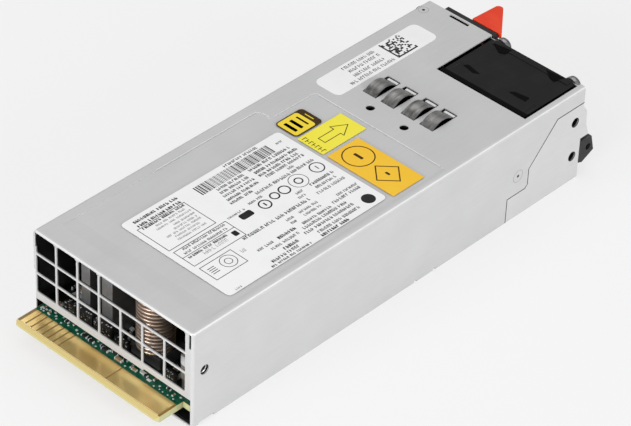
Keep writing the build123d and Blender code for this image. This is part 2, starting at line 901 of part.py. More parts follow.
# Fan rotor: a cup with twisted blades, and its shaft
rotor_rear = fan_rear - strut_depth - 1.0
rotor_front = rotor_rear - hub_depth
blade_tip = fan_bore_radius - fan_tip_gap
with BuildPart() as fan_rotor:
    rear_bore(fan_mid_x, fan_mid_z, fan_hub_radius, rotor_front, rotor_rear, Mode.ADD)
    rear_bore(
        fan_mid_x, fan_mid_z, fan_hub_radius - hub_wall, rotor_front + hub_wall, rotor_rear
    )
    rear_bore(
        fan_mid_x, fan_mid_z, shaft_radius * 2, rotor_front, rotor_front + hub_wall * 2, Mode.ADD
    )
    rear_bore(fan_mid_x, fan_mid_z, shaft_radius, rotor_front + hub_wall, rotor_rear)
    blade_root = fan_hub_radius - hub_wall / 2
    blade_span = blade_tip - blade_root
    steps = 1
    for blade in range(fan_blades):
        start = 360 / fan_blades * blade
        for step in range(steps + 1):
            turn = math.radians(start + blade_twist * step / steps)
            depth = (hub_depth - blade_depth) / 2 + blade_depth * step / steps
            station = Plane(
                origin=(mid_x + fan_mid_x, front_y + rotor_rear - depth, fan_mid_z),
                x_dir=(math.cos(turn), 0, math.sin(turn)),
                z_dir=(0, -1, 0),
            )
            with BuildSketch(station):
                with Locations((blade_root + blade_span / 2, 0)):
                    Rectangle(blade_span, blade_thickness * 1.6)
        loft(ruled=True)
with BuildPart() as fan_shaft:
    rear_bore(
        fan_mid_x, fan_mid_z, shaft_radius, rotor_front + hub_wall, fan_rear - hub_wall - 0.5,
        Mode.ADD,
    )

# Guard: rings of flattened wire on four arms, with an eye at each fan screw
with BuildPart() as fan_guard:
    guard_y = (case_length, case_length + guard_wire)
    guard_rings = [
        vent_radius - guard_ring_inset - guard_ring_pitch * ring for ring in range(guard_ring_count)
    ]
    for ring in guard_rings:
        outer, inner = ring + guard_wire / 2, ring - guard_wire / 2
        faceted_ring(fan_mid_x, fan_mid_z, outer, inner, guard_sides, *guard_y)
    reach = fan_hole_spacing / math.sqrt(2)
    arm_length = reach - guard_eye_radius - guard_rings[-1]
    with BuildSketch(across(guard_y[1])):
        with Locations((fan_mid_x, fan_mid_z)):
            with PolarLocations(guard_rings[-1] + arm_length / 2, strut_count, 45):
                Rectangle(arm_length, guard_wire)
    extrude(amount=guard_wire)
    for x in fan_corner_x:
        for z in fan_corner_z:
            outer, inner = guard_eye_radius + guard_wire / 2, guard_eye_radius - guard_wire / 2
            faceted_ring(x, z, outer, inner, eye_sides, *guard_y)

# Fan screws: heads on the guard's eyes, shanks into the fan's rear flange
with BuildPart() as fan_screws:
    head_y = guard_y[1]
    for x in fan_corner_x:
        for z in fan_corner_z:
            head_radius, shank_radius = guard_eye_radius + fit_gap, fan_hole_radius - fit_gap / 2
            head_rear = head_y + fan_screw_head
            rear_bore(x, z, head_radius, head_y, head_rear, Mode.ADD, screw_sides)
            rear_bore(x, z, shank_radius, fan_rear - fan_flange, head_y, Mode.ADD, small_sides)

# Mains inlet: flange, body and an open socket with three blades
with BuildPart() as inlet_body:
    flange_rear = case_length + inlet_flange_depth
    body_front = case_length - inlet_body_depth
    with BuildSketch(across(flange_rear)):
        with Locations((inlet_mid_x, inlet_mid_z)):
            RectangleRounded(inlet_flange_width, inlet_flange_height, inlet_radius)
    extrude(amount=inlet_flange_depth)
    with BuildSketch(across(case_length)):
        with Locations((inlet_mid_x, inlet_mid_z)):
            RectangleRounded(inlet_body_width, inlet_body_height, inlet_radius)
    extrude(amount=inlet_body_depth)
    with BuildSketch(across(flange_rear)) as mouth:
        with Locations((inlet_mid_x, inlet_mid_z)):
            Rectangle(socket_width, socket_height)
        chamfer(mouth.vertices().group_by(Axis.Y)[-1], socket_corner)
        fillet(mouth.vertices().group_by(Axis.Y)[0], inlet_radius / 2)
    extrude(amount=socket_depth, mode=Mode.SUBTRACT)
    socket_floor = flange_rear - socket_depth
    pin_places = (
        (inlet_mid_x - side_pin_x, inlet_mid_z - side_pin_drop),
        (inlet_mid_x, inlet_mid_z + earth_pin_rise),
        (inlet_mid_x + side_pin_x, inlet_mid_z - side_pin_drop),
    )
    with BuildSketch(across(socket_floor)):
        with Locations(*pin_places):
            Rectangle(blade_pin_width, blade_pin_height)
    extrude(amount=socket_floor - body_front, mode=Mode.SUBTRACT)
with BuildPart() as inlet_pins:
    with BuildSketch(across(socket_floor + blade_pin_reach)):
        with Locations(*pin_places):
            Rectangle(blade_pin_width, blade_pin_height)
    extrude(amount=blade_pin_reach + socket_floor - body_front + blade_pin_tail)
with BuildPart() as inlet_board:
    board_face = body_front
    with BuildSketch(across(board_face)):
        with Locations((inlet_mid_x, inlet_mid_z)):
            Rectangle(inlet_body_width, inlet_body_height + 1.0)
        with Locations(*pin_places):
            Rectangle(blade_pin_width + 0.2, blade_pin_height + 0.2, mode=Mode.SUBTRACT)
    extrude(amount=inlet_board_thickness)

# Latch housing: a black moulding with a bezel outside and a railed shelf inside
bar_y = (bar_front, bar_front + bar_width)
pocket_right = pocket_left + pocket_length
pocket_mid_y = bar_front + bar_width / 2
rib_right = pocket_right - fit_gap
with BuildPart() as latch_housing:
    bezel_rear = case_length + bezel_depth
    block((bezel_left, bezel_right), (case_length, bezel_rear), (bezel_foot, bezel_top))
    chamfer(latch_housing.edges().filter_by(Axis.Y), bezel_corner)
    shelf_x = (bezel_left + shelf_margin, bezel_right - shelf_margin)
    block(shelf_x, (shelf_front, case_length), (shelf_top - shelf_thickness, shelf_top))
    block(
        (rail_left, shelf_x[1]),
        (bar_y[0] - rail_width, bar_y[1] + rail_width),
        (shelf_top - shelf_thickness, shelf_top),
    )
    rail_top = latch_top + latch_clearance
    front_rail = (bar_y[0] - latch_clearance - rail_width, bar_y[0] - latch_clearance)
    rear_rail = (bar_y[1] + latch_clearance, bar_y[1] + latch_clearance + rail_width)
    block((rail_left, shelf_x[1]), front_rail, (shelf_top, rail_top))
    block((rail_left, neck_left - latch_travel / 4), rear_rail, (shelf_top, rail_top))
    for y in (bar_y[0] + rail_width / 2, bar_y[1] - rail_width / 2):
        block(
            (rail_left, shelf_x[1]),
            (y - rail_width / 2, y + rail_width / 2),
            (shelf_top, latch_bottom - latch_clearance),
        )
    block(
        (rib_right - rib_thickness, rib_right),
        (pocket_mid_y - pocket_width / 2 + fit_gap, pocket_mid_y + pocket_width / 2 - fit_gap),
        (shelf_top, latch_top),
    )
    block((neck_slot_left, neck_slot_right), (case_length, bezel_rear), neck_slot_z, Mode.SUBTRACT)
    rear_bore(light_x, light_z, light_radius, case_length, bezel_rear)

# Release latch: a sliding bar, a neck through the slot and a three-cornered thumb tab
with BuildPart() as release_latch:
    tab_front_y = bezel_rear + tab_gap
    tab_rear_y = case_length + latch_reach
    block((bar_left, neck_right), bar_y, (latch_bottom, latch_top))
    block((neck_left, neck_right), (bar_y[1], tab_front_y + tab_wall), (latch_bottom, latch_top))
    block(
        (pocket_left, pocket_right),
        (pocket_mid_y - pocket_width / 2, pocket_mid_y + pocket_width / 2),
        (latch_bottom, latch_top),
        Mode.SUBTRACT,
    )
    block(
        (bar_left, bar_left + catch_root),
        bar_y,
        (latch_bottom, latch_top),
        Mode.SUBTRACT,
    )
    with BuildSketch(level(tab_foot)) as wedge:
        with BuildLine():
            Polyline(
                (tab_left, tab_front_y),
                (tab_right, tab_front_y),
                (tab_left + tab_tip_width + tab_tip_radius, tab_rear_y),
                (tab_left + tab_tip_width / 2, tab_rear_y),
                close=True,
            )
        make_face()
        fillet(wedge.vertices().group_by(Axis.Y)[-1], tab_tip_radius)
    extrude(amount=tab_top - tab_foot)
    with BuildSketch(level(tab_foot)) as hollow:
        with BuildLine():
            Polyline(
                (tab_left + tab_wall, tab_front_y),
                (tab_right, tab_front_y),
                (tab_right, tab_rear_y),
                (tab_left + tab_wall + tab_tip_width, tab_rear_y - tab_wall * 2),
                close=True,
            )
        make_face()
    extrude(amount=tab_top - tab_foot - tab_plate, mode=Mode.SUBTRACT)
    block(
        (neck_left, neck_right),
        (tab_front_y, tab_front_y + tab_wall),
        (latch_bottom, tab_top - tab_plate / 2),
    )

# Catch: a steel tooth on the latch bar that stands out through the cover's left wall
with BuildPart() as latch_catch:
    with BuildSketch(level(latch_bottom)):
        with BuildLine():
            Polyline(
                (bar_left + catch_root, bar_y[0]),
                (bar_left, bar_y[0]),
                (-half_width, catch_front),
                (-half_width - catch_reach, catch_ramp),
                (-half_width - catch_reach, catch_rear),
                (bar_left, catch_rear),
                (bar_left, bar_y[1]),
                (bar_left + catch_root, bar_y[1]),
                close=True,
            )
        make_face()
    extrude(amount=latch_thickness)

# Folded leaf spring that pushes the latch back out to the left
with BuildPart() as latch_spring:
    spring_x = (pocket_left + fit_gap, rib_right - rib_thickness - fit_gap)
    fold = (spring_x[1] - spring_x[0]) / leaf_folds
    swing = pocket_width / 2 - 2 * fit_gap
    zigzag = [
        (spring_x[0] + fold * turn, pocket_mid_y + (swing if turn % 2 else -swing))
        for turn in range(leaf_folds + 1)
    ]
    with BuildSketch(level(latch_bottom + fit_gap)):
        with BuildLine():
            Polyline(*zigzag)
        trace(line_width=leaf_sheet)
    extrude(amount=latch_thickness - 2 * fit_gap)

# Status light
with BuildPart() as status_light:
    light_rear = bezel_rear + light_stand
    rear_bore(light_x, light_z, light_radius - 0.02, fan_rear - light_depth, light_rear, Mode.ADD)
    chamfer(status_light.edges().sort_by(Axis.Y)[-1], light_bevel)

# Handle: two feet on the rear panel, pins, and a folding bail
boss_right = (handle_right + foot_gap, handle_right + foot_gap + foot_boss)
boss_left = (handle_left - foot_gap - foot_boss, handle_left - foot_gap)
foot_right = (boss_right[1], half_width)
foot_left = (boss_left[0] - foot_width, boss_left[0])
pivot_y = case_length + handle_pivot_reach
with BuildPart() as handle_feet:
    for low, high in (foot_right, foot_left):
        with BuildSketch(along(low)):
            with BuildLine():
                Polyline(*[(case_length + y, z) for y, z in foot_profile], close=True)
            make_face()
        extrude(amount=high - low)
    for low, high in (boss_right, boss_left):
        side_bore(pivot_y, handle_pivot_z, foot_boss_radius, low, high, Mode.ADD)
    running = handle_pin_radius + handle_pin_clearance
    side_bore(pivot_y, handle_pivot_z, running, foot_left[0], foot_right[1])
with BuildPart() as handle_pins:
    pin_right = (handle_right - handle_arm_width, foot_right[1] - handle_pin_inset)
    pin_left = (foot_left[0] + handle_pin_inset, handle_left + handle_arm_width)
    for low, high in (pin_right, pin_left):
        side_bore(pivot_y, handle_pivot_z, handle_pin_radius, low, high, Mode.ADD)
with BuildPart() as handle_bail:
    arm_foot = handle_pivot_z - handle_arm_depth / 2
    with BuildSketch(across(pivot_y + handle_arm_depth / 2)) as loop:
        with Locations((fan_mid_x, (arm_foot + handle_top) / 2)):
            Rectangle(handle_width, handle_top - arm_foot)
        fillet(loop.vertices().group_by(Axis.Y)[-1], handle_corner)
        with Locations((fan_mid_x, (arm_foot + handle_top - handle_grip) / 2)):
            opening = Rectangle(
                handle_width - 2 * handle_arm_width,
                handle_top - handle_grip - arm_foot,
                mode=Mode.SUBTRACT,
            )
    extrude(amount=handle_arm_depth)
    rear_face = handle_bail.faces().sort_by(Axis.Y)[-1]
    chamfer(rear_face.outer_wire().edges(), handle_bevel)
    side_bore(pivot_y, handle_pivot_z, handle_pin_radius, handle_left, handle_right)

# Output coil and its core, seen through the grille
with BuildPart() as output_coil:
    first_turn = board_top + coil_core_plate + 0.1
    for turn in range(coil_turns):
        low = first_turn + turn * turn_pitch
        turn_z = (low, low + turn_thickness)
        round_post(coil_x, coil_y, coil_radius, turn_z, sides=coil_sides)
    link_top = first_turn + (coil_turns - 1) * turn_pitch + turn_thickness
    link_y = (coil_y + coil_bore + 1.0, coil_y + coil_radius - 0.6)
    block((coil_x - 2.0, coil_x + 2.0), link_y, (first_turn, link_top))
    stack_z = (first_turn, link_top)
    round_post(coil_x, coil_y, coil_bore, stack_z, Mode.SUBTRACT, coil_sides)
with BuildPart() as coil_core:
    core_half = coil_radius + 0.2
    block(
        (coil_x - core_half, coil_x + core_half),
        (coil_y - core_half + 3, coil_y + core_half),
        (board_top, board_top + coil_core_plate),
    )
    round_post(coil_x, coil_y, coil_core_radius, (board_top, link_top + 1.0))

# Heat sinks: bent plates with a flange that faces the grille
with BuildPart() as front_heat_sinks:
    for x, flange in zip(sink_x, sink_flange):
        sink_z = (board_top, board_top + sink_height)
        block((x, x + flange), (sink_front, sink_front + sink_sheet), sink_z)
        block((x + flange - sink_sheet, x + flange), (sink_front, sink_front + sink_length), sink_z)
with BuildPart() as rectifier_switches:
    for x, flange in zip(sink_x, sink_flange):
        for place in (0.3, 0.55, 0.8):
            y = sink_front + sink_length * place
            block(
                (x + flange - sink_sheet - 2.2, x + flange - sink_sheet),
                (y - 4.5, y + 4.5),
                (board_top + 4, board_top + 17),
            )
            block(
                (x + flange - sink_sheet - 1.6, x + flange - sink_sheet - 0.9),
                (y - 3.2, y + 3.2),
                (board_top, board_top + 4),
            )

# Transformer: a core round a wound bobbin
with BuildPart() as transformer_core:
    core_low = board_top + 1.0
    core_high = core_low + transformer_height
    core_x = (transformer_x - transformer_width / 2, transformer_x + transformer_width / 2)
    core_y = (transformer_y - transformer_depth / 4, transformer_y + transformer_depth / 4)
    block(core_x, core_y, (core_low, core_high))
    block(
        (core_x[0] + core_leg / 2, core_x[1] - core_leg / 2),
        core_y,
        (core_low + core_leg / 2, core_high - core_leg / 2),
        Mode.SUBTRACT,
    )
    round_post(transformer_x, transformer_y, core_leg, (core_low, core_high))
with BuildPart() as transformer_winding:
    winding_z = (core_low + core_leg / 2, core_high - core_leg / 2)
    round_post(transformer_x, transformer_y, winding_radius, winding_z)
    round_post(transformer_x, transformer_y, core_leg, winding_z, Mode.SUBTRACT)
    with Locations(level(board_top)):
        for side in (-1, 1):
            with Locations((transformer_x, transformer_y + side * (winding_radius - 1.5), 0)):
                Box(14, 2.5, winding_z[0] - board_top + 0.5, align=(Align.CENTER, Align.CENTER, Align.MIN))

# Bulk capacitors
with BuildPart() as bulk_capacitors:
    for y in bulk_cap_y:
        can_z = (board_top, board_top + bulk_cap_height)
        round_post(bulk_cap_x, y, bulk_cap_radius, can_z, sides=can_sides)
    rims = bulk_capacitors.edges().group_by(Axis.Z)[-1]
    chamfer(rims, can_bevel)

# Power factor choke: a ring core with wound wire, standing on a base plate
with BuildPart() as choke_ring:
    low = board_top + 1.5
    ring_z = (low, low + choke_height)
    round_post(choke_x, choke_y, choke_radius - choke_wire, ring_z, sides=can_sides)
    bore = choke_bore + choke_wire + fit_gap / 2
    round_post(choke_x, choke_y, bore, ring_z, Mode.SUBTRACT, can_sides)
with BuildPart() as choke_winding:
    arm = choke_radius - choke_bore
    for turn in range(wire_turns):
        spin = math.radians(360 / wire_turns * turn)
        radial = Plane(
            origin=(mid_x + choke_x, front_y + choke_y, 0),
            x_dir=(math.cos(spin), math.sin(spin), 0),
            z_dir=(math.sin(spin), -math.cos(spin), 0),
        )
        with BuildSketch(radial):
            with Locations((choke_bore + arm / 2, low + choke_height / 2)):
                Rectangle(arm, choke_height + 2 * choke_wire)
                Rectangle(arm - 2 * choke_wire, choke_height, mode=Mode.SUBTRACT)
        extrude(amount=choke_wire / 2, both=True)

# Rectifier and switch heat sink behind the transformer, with its devices
with BuildPart() as mains_heat_sink:
    block(
        (pfc_sink_x, pfc_sink_x + sink_sheet),
        (pfc_sink_y, pfc_sink_y + pfc_sink_length),
        (board_top, board_top + sink_height),
    )
    block(
        (pfc_sink_x, pfc_sink_x + 8.0),
        (pfc_sink_y, pfc_sink_y + pfc_sink_length),
        (board_top + sink_height - sink_sheet, board_top + sink_height),
    )
with BuildPart() as mains_switches:
    for place in (0.15, 0.4, 0.65, 0.88):
        y = pfc_sink_y + pfc_sink_length * place
        block((pfc_sink_x - 4.6, pfc_sink_x), (y - 5.0, y + 5.0), (board_top + 4, board_top + 19))
        block((pfc_sink_x - 3.0, pfc_sink_x - 2.3), (y - 4.0, y + 4.0), (board_top, board_top + 4))

# Mains filter: a wound ring on edge, a film capacitor, a relay and a fuse
with BuildPart() as filter_choke:
    ring_low = board_top + choke_radius
    rear_bore(
        filter_choke_x, ring_low, choke_radius - 1.5, filter_choke_y - 5, filter_choke_y + 5, Mode.ADD
    )
    rear_bore(filter_choke_x, ring_low, choke_bore - 1, filter_choke_y - 5, filter_choke_y + 5)
    block(
        (filter_choke_x - 9, filter_choke_x + 9),
        (filter_choke_y - 6, filter_choke_y + 6),
        (board_top, board_top + 2.4),
    )
with BuildPart() as filter_capacitor:
    wide, deep, high = filter_cap_size
    block(
        (filter_cap_x - wide / 2, filter_cap_x + wide / 2),
        (filter_cap_y - deep / 2, filter_cap_y + deep / 2),
        (board_top, board_top + high),
    )
    chamfer(filter_capacitor.edges().filter_by(Axis.Z), 0.8)
with BuildPart() as relay:
    wide, deep, high = relay_size
    block(
        (relay_x - wide / 2, relay_x + wide / 2),
        (relay_y - deep / 2, relay_y + deep / 2),
        (board_top, board_top + high),
    )
    chamfer(relay.edges().group_by(Axis.Z)[-1], 0.6)
with BuildPart() as fuse:
    fuse_y_range = (fuse_y - fuse_length / 2, fuse_y + fuse_length / 2)
    rear_bore(fuse_x, board_top + 3.4, fuse_radius, fuse_y_range[0], fuse_y_range[1], Mode.ADD)
    for y in fuse_y_range:
        block((fuse_x - 3, fuse_x + 3), (y - 2.5, y + 2.5), (board_top, board_top + 3.4))

# Silver output capacitors in a row beside the coil
with BuildPart() as output_capacitors:
    for y in small_cap_y:
        can_z = (board_top, board_top + small_cap_height)
        round_post(small_cap_x, y, small_cap_radius, can_z, sides=can_sides)
    rims = output_capacitors.edges().group_by(Axis.Z)[-1]
    chamfer(rims, small_can_bevel)

# Upright control board with its chips
with BuildPart() as control_board:
    control_y = (control_board_y, control_board_y + control_board_length)
    block(
        (control_board_x - control_board_thickness, control_board_x),
        control_y,
        (board_top, board_top + control_board_height),
    )

pieces = {
    "top_cover": top_cover,
    "base_pan": base_pan,
    "rear_panel": rear_panel,
    "case_screws": case_screws,
    "grounding_strip": grounding_strip,
    "main_board": main_board,
    "power_pads": power_pads,
    "signal_pads": signal_pads,
    "insulating_film": insulating_film,
    "board_posts": board_posts,
    "board_screws": board_screws,
    "fan_frame": fan_frame,
    "fan_bearing": fan_bearing,
    "fan_motor": fan_motor,
    "fan_rotor": fan_rotor,
    "fan_shaft": fan_shaft,
    "fan_guard": fan_guard,
    "fan_screws": fan_screws,
    "inlet_body": inlet_body,
    "inlet_pins": inlet_pins,
    "inlet_board": inlet_board,
    "latch_housing": latch_housing,
    "release_latch": release_latch,
    "latch_catch": latch_catch,
    "latch_spring": latch_spring,
    "status_light": status_light,
    "handle_feet": handle_feet,
    "handle_pins": handle_pins,
    "handle_bail": handle_bail,
    "output_coil": output_coil,
    "coil_core": coil_core,
    "front_heat_sinks": front_heat_sinks,
    "rectifier_switches": rectifier_switches,
    "transformer_core": transformer_core,
    "transformer_winding": transformer_winding,
    "bulk_capacitors": bulk_capacitors,
    "choke_ring": choke_ring,
    "choke_winding": choke_winding,
    "mains_heat_sink": mains_heat_sink,
    "mains_switches": mains_switches,
    "filter_choke": filter_choke,
    "filter_capacitor": filter_capacitor,
    "relay": relay,
    "fuse": fuse,
    "output_capacitors": output_capacitors,
    "control_board": control_board,
}
for name, piece in pieces.items():
    piece.part.label = name
    export_step(piece.part, f"parts/{name}.step")
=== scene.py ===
import json
import math
import random

import bmesh
import bpy
from mathutils import Matrix, Vector


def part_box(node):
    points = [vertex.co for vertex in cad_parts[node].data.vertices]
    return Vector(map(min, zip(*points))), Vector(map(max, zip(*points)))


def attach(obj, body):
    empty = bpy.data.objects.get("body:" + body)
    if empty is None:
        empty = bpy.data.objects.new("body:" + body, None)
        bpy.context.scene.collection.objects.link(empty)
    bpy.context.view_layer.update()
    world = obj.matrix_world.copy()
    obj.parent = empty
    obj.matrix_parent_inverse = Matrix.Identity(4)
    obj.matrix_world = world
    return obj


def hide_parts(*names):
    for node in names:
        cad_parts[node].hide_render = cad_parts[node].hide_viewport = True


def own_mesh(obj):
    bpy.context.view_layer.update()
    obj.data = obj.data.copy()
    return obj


# A hot swap server power supply. The case is set off from the row frame by the first two values,
# and the others are half its width, its length and its height.
caseMidX = 0.9
caseFrontY = -98.2
caseWall, caseLength, caseHeight = 36.75, 191.0, 39.0


def casePoint(x, y, z):
    # case millimetres (from the middle of the front face) to metres in the row frame
    return Vector(((x + caseMidX) / 1000, (y + caseFrontY) / 1000, z / 1000))


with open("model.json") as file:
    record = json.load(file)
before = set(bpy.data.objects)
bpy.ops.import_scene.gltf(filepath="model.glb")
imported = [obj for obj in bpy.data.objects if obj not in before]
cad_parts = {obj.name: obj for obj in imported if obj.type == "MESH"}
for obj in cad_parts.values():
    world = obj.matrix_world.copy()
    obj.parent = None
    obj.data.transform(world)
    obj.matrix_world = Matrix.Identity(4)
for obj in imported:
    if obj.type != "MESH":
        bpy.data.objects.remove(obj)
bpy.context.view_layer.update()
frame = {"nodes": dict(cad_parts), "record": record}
nodes = frame["nodes"]
bpy.context.scene.view_settings.view_transform = "Standard"
print("frame loaded")


def grey(value):
    return (value, value, value, 1)


def feed(tree, node, values):
    # a value is a plain one, or a socket that is linked to the input
    for key, value in values.items():
        if isinstance(value, bpy.types.NodeSocket):
            tree.links.new(value, node.inputs[key])
        else:
            node.inputs[key].default_value = value


def addNode(tree, kind, settings=None, values=None):
    node = tree.nodes.new(kind)
    for key, value in (settings or {}).items():
        setattr(node, key, value)
    feed(tree, node, values or {})
    return node


def newGroup(name, inputs, outputs):
    # inputs have their first values here, and a tuple is a colour
    group = bpy.data.node_groups.new(name, "ShaderNodeTree")
    for label, value in inputs.items():
        kind = "NodeSocketColor" if isinstance(value, tuple) else "NodeSocketFloat"
        socket = group.interface.new_socket(name=label, in_out="INPUT", socket_type=kind)
        socket.default_value = value
    for label in outputs:
        kind = "NodeSocketColor" if label == "Color" else "NodeSocketFloat"
        group.interface.new_socket(name=label, in_out="OUTPUT", socket_type=kind)
    return group, group.nodes.new("NodeGroupInput")


def mixColors(tree, factor, first, second):
    node = addNode(tree, "ShaderNodeMix", {"data_type": "RGBA"}, {0: factor, 6: first, 7: second})
    return node.outputs[2]


def mixValues(tree, factor, first, second):
    node = addNode(tree, "ShaderNodeMix", {"data_type": "FLOAT"}, {0: factor, 2: first, 3: second})
    return node.outputs[0]


def combine(tree, operation, first, second):
    node = addNode(tree, "ShaderNodeMath", {"operation": operation}, {0: first, 1: second})
    return node.outputs[0]


def ramp(tree, source, start, end):
    # black up to the first place and white from the second
    node = addNode(tree, "ShaderNodeValToRGB", {}, {0: source})
    for element, place, value in zip(node.color_ramp.elements, (start, end), (0.0, 1.0)):
        element.position = place
        element.color = grey(value)
    return node.outputs[0]


def rise(tree, source, start, end):
    # 0 at the start and 1 at the end
    node = addNode(tree, "ShaderNodeMapRange", {}, {0: source, "From Min": start, "From Max": end})
    return node.outputs[0]


def addNoise(tree, place, scale, detail):
    node = addNode(tree, "ShaderNodeTexNoise", {},
                   {"Vector": place, "Scale": scale, "Detail": detail})
    return node.outputs[0]


# rolled sheet: long faint streaks, soft blotches and fine pits
def makeSheetGroup():
    group, entry = newGroup(
        "rolledSheet",
        {"Light": (0.7, 0.7, 0.7, 1), "Dark": (0.6, 0.6, 0.6, 1), "Rough Low": 0.3,
         "Rough High": 0.45, "Streak": 0.5},
        ("Color", "Roughness", "Height"))
    given = entry.outputs
    place = addNode(group, "ShaderNodeTexCoord").outputs["Object"]
    stretch = addNode(group, "ShaderNodeMapping", {}, {"Vector": place, "Scale": (900, 60, 900)})
    streaks = addNoise(group, stretch.outputs[0], 1.0, 4.0)
    blotches = addNoise(group, place, 55.0, 3.0)
    pits = addNoise(group, place, 2600.0, 2.0)
    tone = ramp(group, mixValues(group, given["Streak"], blotches, streaks), 0.3, 0.7)
    addNode(group, "NodeGroupOutput", {}, {
        "Color": mixColors(group, tone, given["Dark"], given["Light"]),
        "Roughness": mixValues(group, pits, given["Rough Low"], given["Rough High"]),
        "Height": combine(group, "ADD", streaks, pits)})
    return group


# moulded or printed surfaces: a fine even grain with soft patches of wear
def makeGrainGroup():
    group, entry = newGroup(
        "fineGrain",
        {"Base": (0.05, 0.05, 0.05, 1), "Worn": (0.09, 0.09, 0.09, 1), "Rough Low": 0.4,
         "Rough High": 0.6, "Grain Scale": 1800.0},
        ("Color", "Roughness", "Height"))
    given = entry.outputs
    place = addNode(group, "ShaderNodeTexCoord").outputs["Object"]
    grain = addNoise(group, place, given["Grain Scale"], 2.0)
    wear = ramp(group, addNoise(group, place, 140.0, 4.0), 0.45, 0.75)
    addNode(group, "NodeGroupOutput", {}, {
        "Color": mixColors(group, wear, given["Base"], given["Worn"]),
        "Roughness": mixValues(group, grain, given["Rough Low"], given["Rough High"]),
        "Height": grain})
    return group


# painted shade: behind their outer skin the case's parts are darkened, standing in for the shade
# inside the case
def makeInsideShadeGroup():
    group, entry = newGroup(
        "insideCaseShade", {"Color": (0.6, 0.6, 0.6, 1), "Inner Shade": (0.012, 0.012, 0.012, 1)}, ("Color",))
    place = addNode(group, "ShaderNodeTexCoord").outputs["Object"]
    split = addNode(group, "ShaderNodeSeparateXYZ", {}, {0: place})
    low, high = casePoint(-caseWall, 0, 0), casePoint(caseWall, caseLength, caseHeight)
    skin, fade = 0.0004, 0.0001
    shares = []
    for axis in range(3):
        first, last = low[axis] + skin, high[axis] - skin
        for start, end in ((first, first + fade), (last, last - fade)):
            shares.append(rise(group, split.outputs[axis], start, end))
    share = shares[0]
    for other in shares[1:]:
        share = combine(group, "MULTIPLY", share, other)
    color = mixColors(group, share, entry.outputs["Color"], entry.outputs["Inner Shade"])
    addNode(group, "NodeGroupOutput", {}, {"Color": color})
    return group


sheetGroup = makeSheetGroup()
grainGroup = makeGrainGroup()
insideShadeGroup = makeInsideShadeGroup()


def startMaterial(name):
    material = bpy.data.materials.new(name)
    material.use_nodes = True
    tree = material.node_tree
    tree.nodes.clear()
    shader = addNode(tree, "ShaderNodeBsdfPrincipled")
    addNode(tree, "ShaderNodeOutputMaterial", {}, {0: shader.outputs[0]})
    return material, tree, shader


def addRelief(tree, strength, depth, height):
    return addNode(tree, "ShaderNodeBump", {},
                   {"Strength": strength, "Distance": depth, "Height": height}).outputs[0]


def makeSurface(name, group, look, bump, shine, inner=None):
    # one of the groups feeds the shader, with its own look and, on case sheets, painted shade
    # inside the case
    material, tree, shader = startMaterial(name)
    effect = addNode(tree, "ShaderNodeGroup", {"node_tree": group}, look).outputs
    color = effect["Color"]
    if inner:
        shade = addNode(tree, "ShaderNodeGroup", {"node_tree": insideShadeGroup},
                        {"Color": color, "Inner Shade": grey(inner)})
        color = shade.outputs["Color"]
    feed(tree, shader, {"Base Color": color, "Roughness": effect["Roughness"],
                        "Normal": addRelief(tree, bump * 4, 0.00005, effect["Height"]), **shine})
    return material


def makeSheetMetal(name, light, dark, rough, streak, bump, metallic=1.0, inner=None,
                   specular=0.5):
    look = {"Light": (*light, 1), "Dark": (*dark, 1), "Rough Low": rough[0],
            "Rough High": rough[1], "Streak": streak}
    return makeSurface(name, sheetGroup, look, bump,
                       {"Metallic": metallic, "Specular IOR Level": specular}, inner)


def makeGrained(name, base, worn, rough, grain, bump, coat=0.0, specular=0.5):
    look = {"Base": (*base, 1), "Worn": (*worn, 1), "Rough Low": rough[0],
            "Rough High": rough[1], "Grain Scale": grain}
    return makeSurface(name, grainGroup, look, bump,
                       {"Coat Weight": coat, "Specular IOR Level": specular})


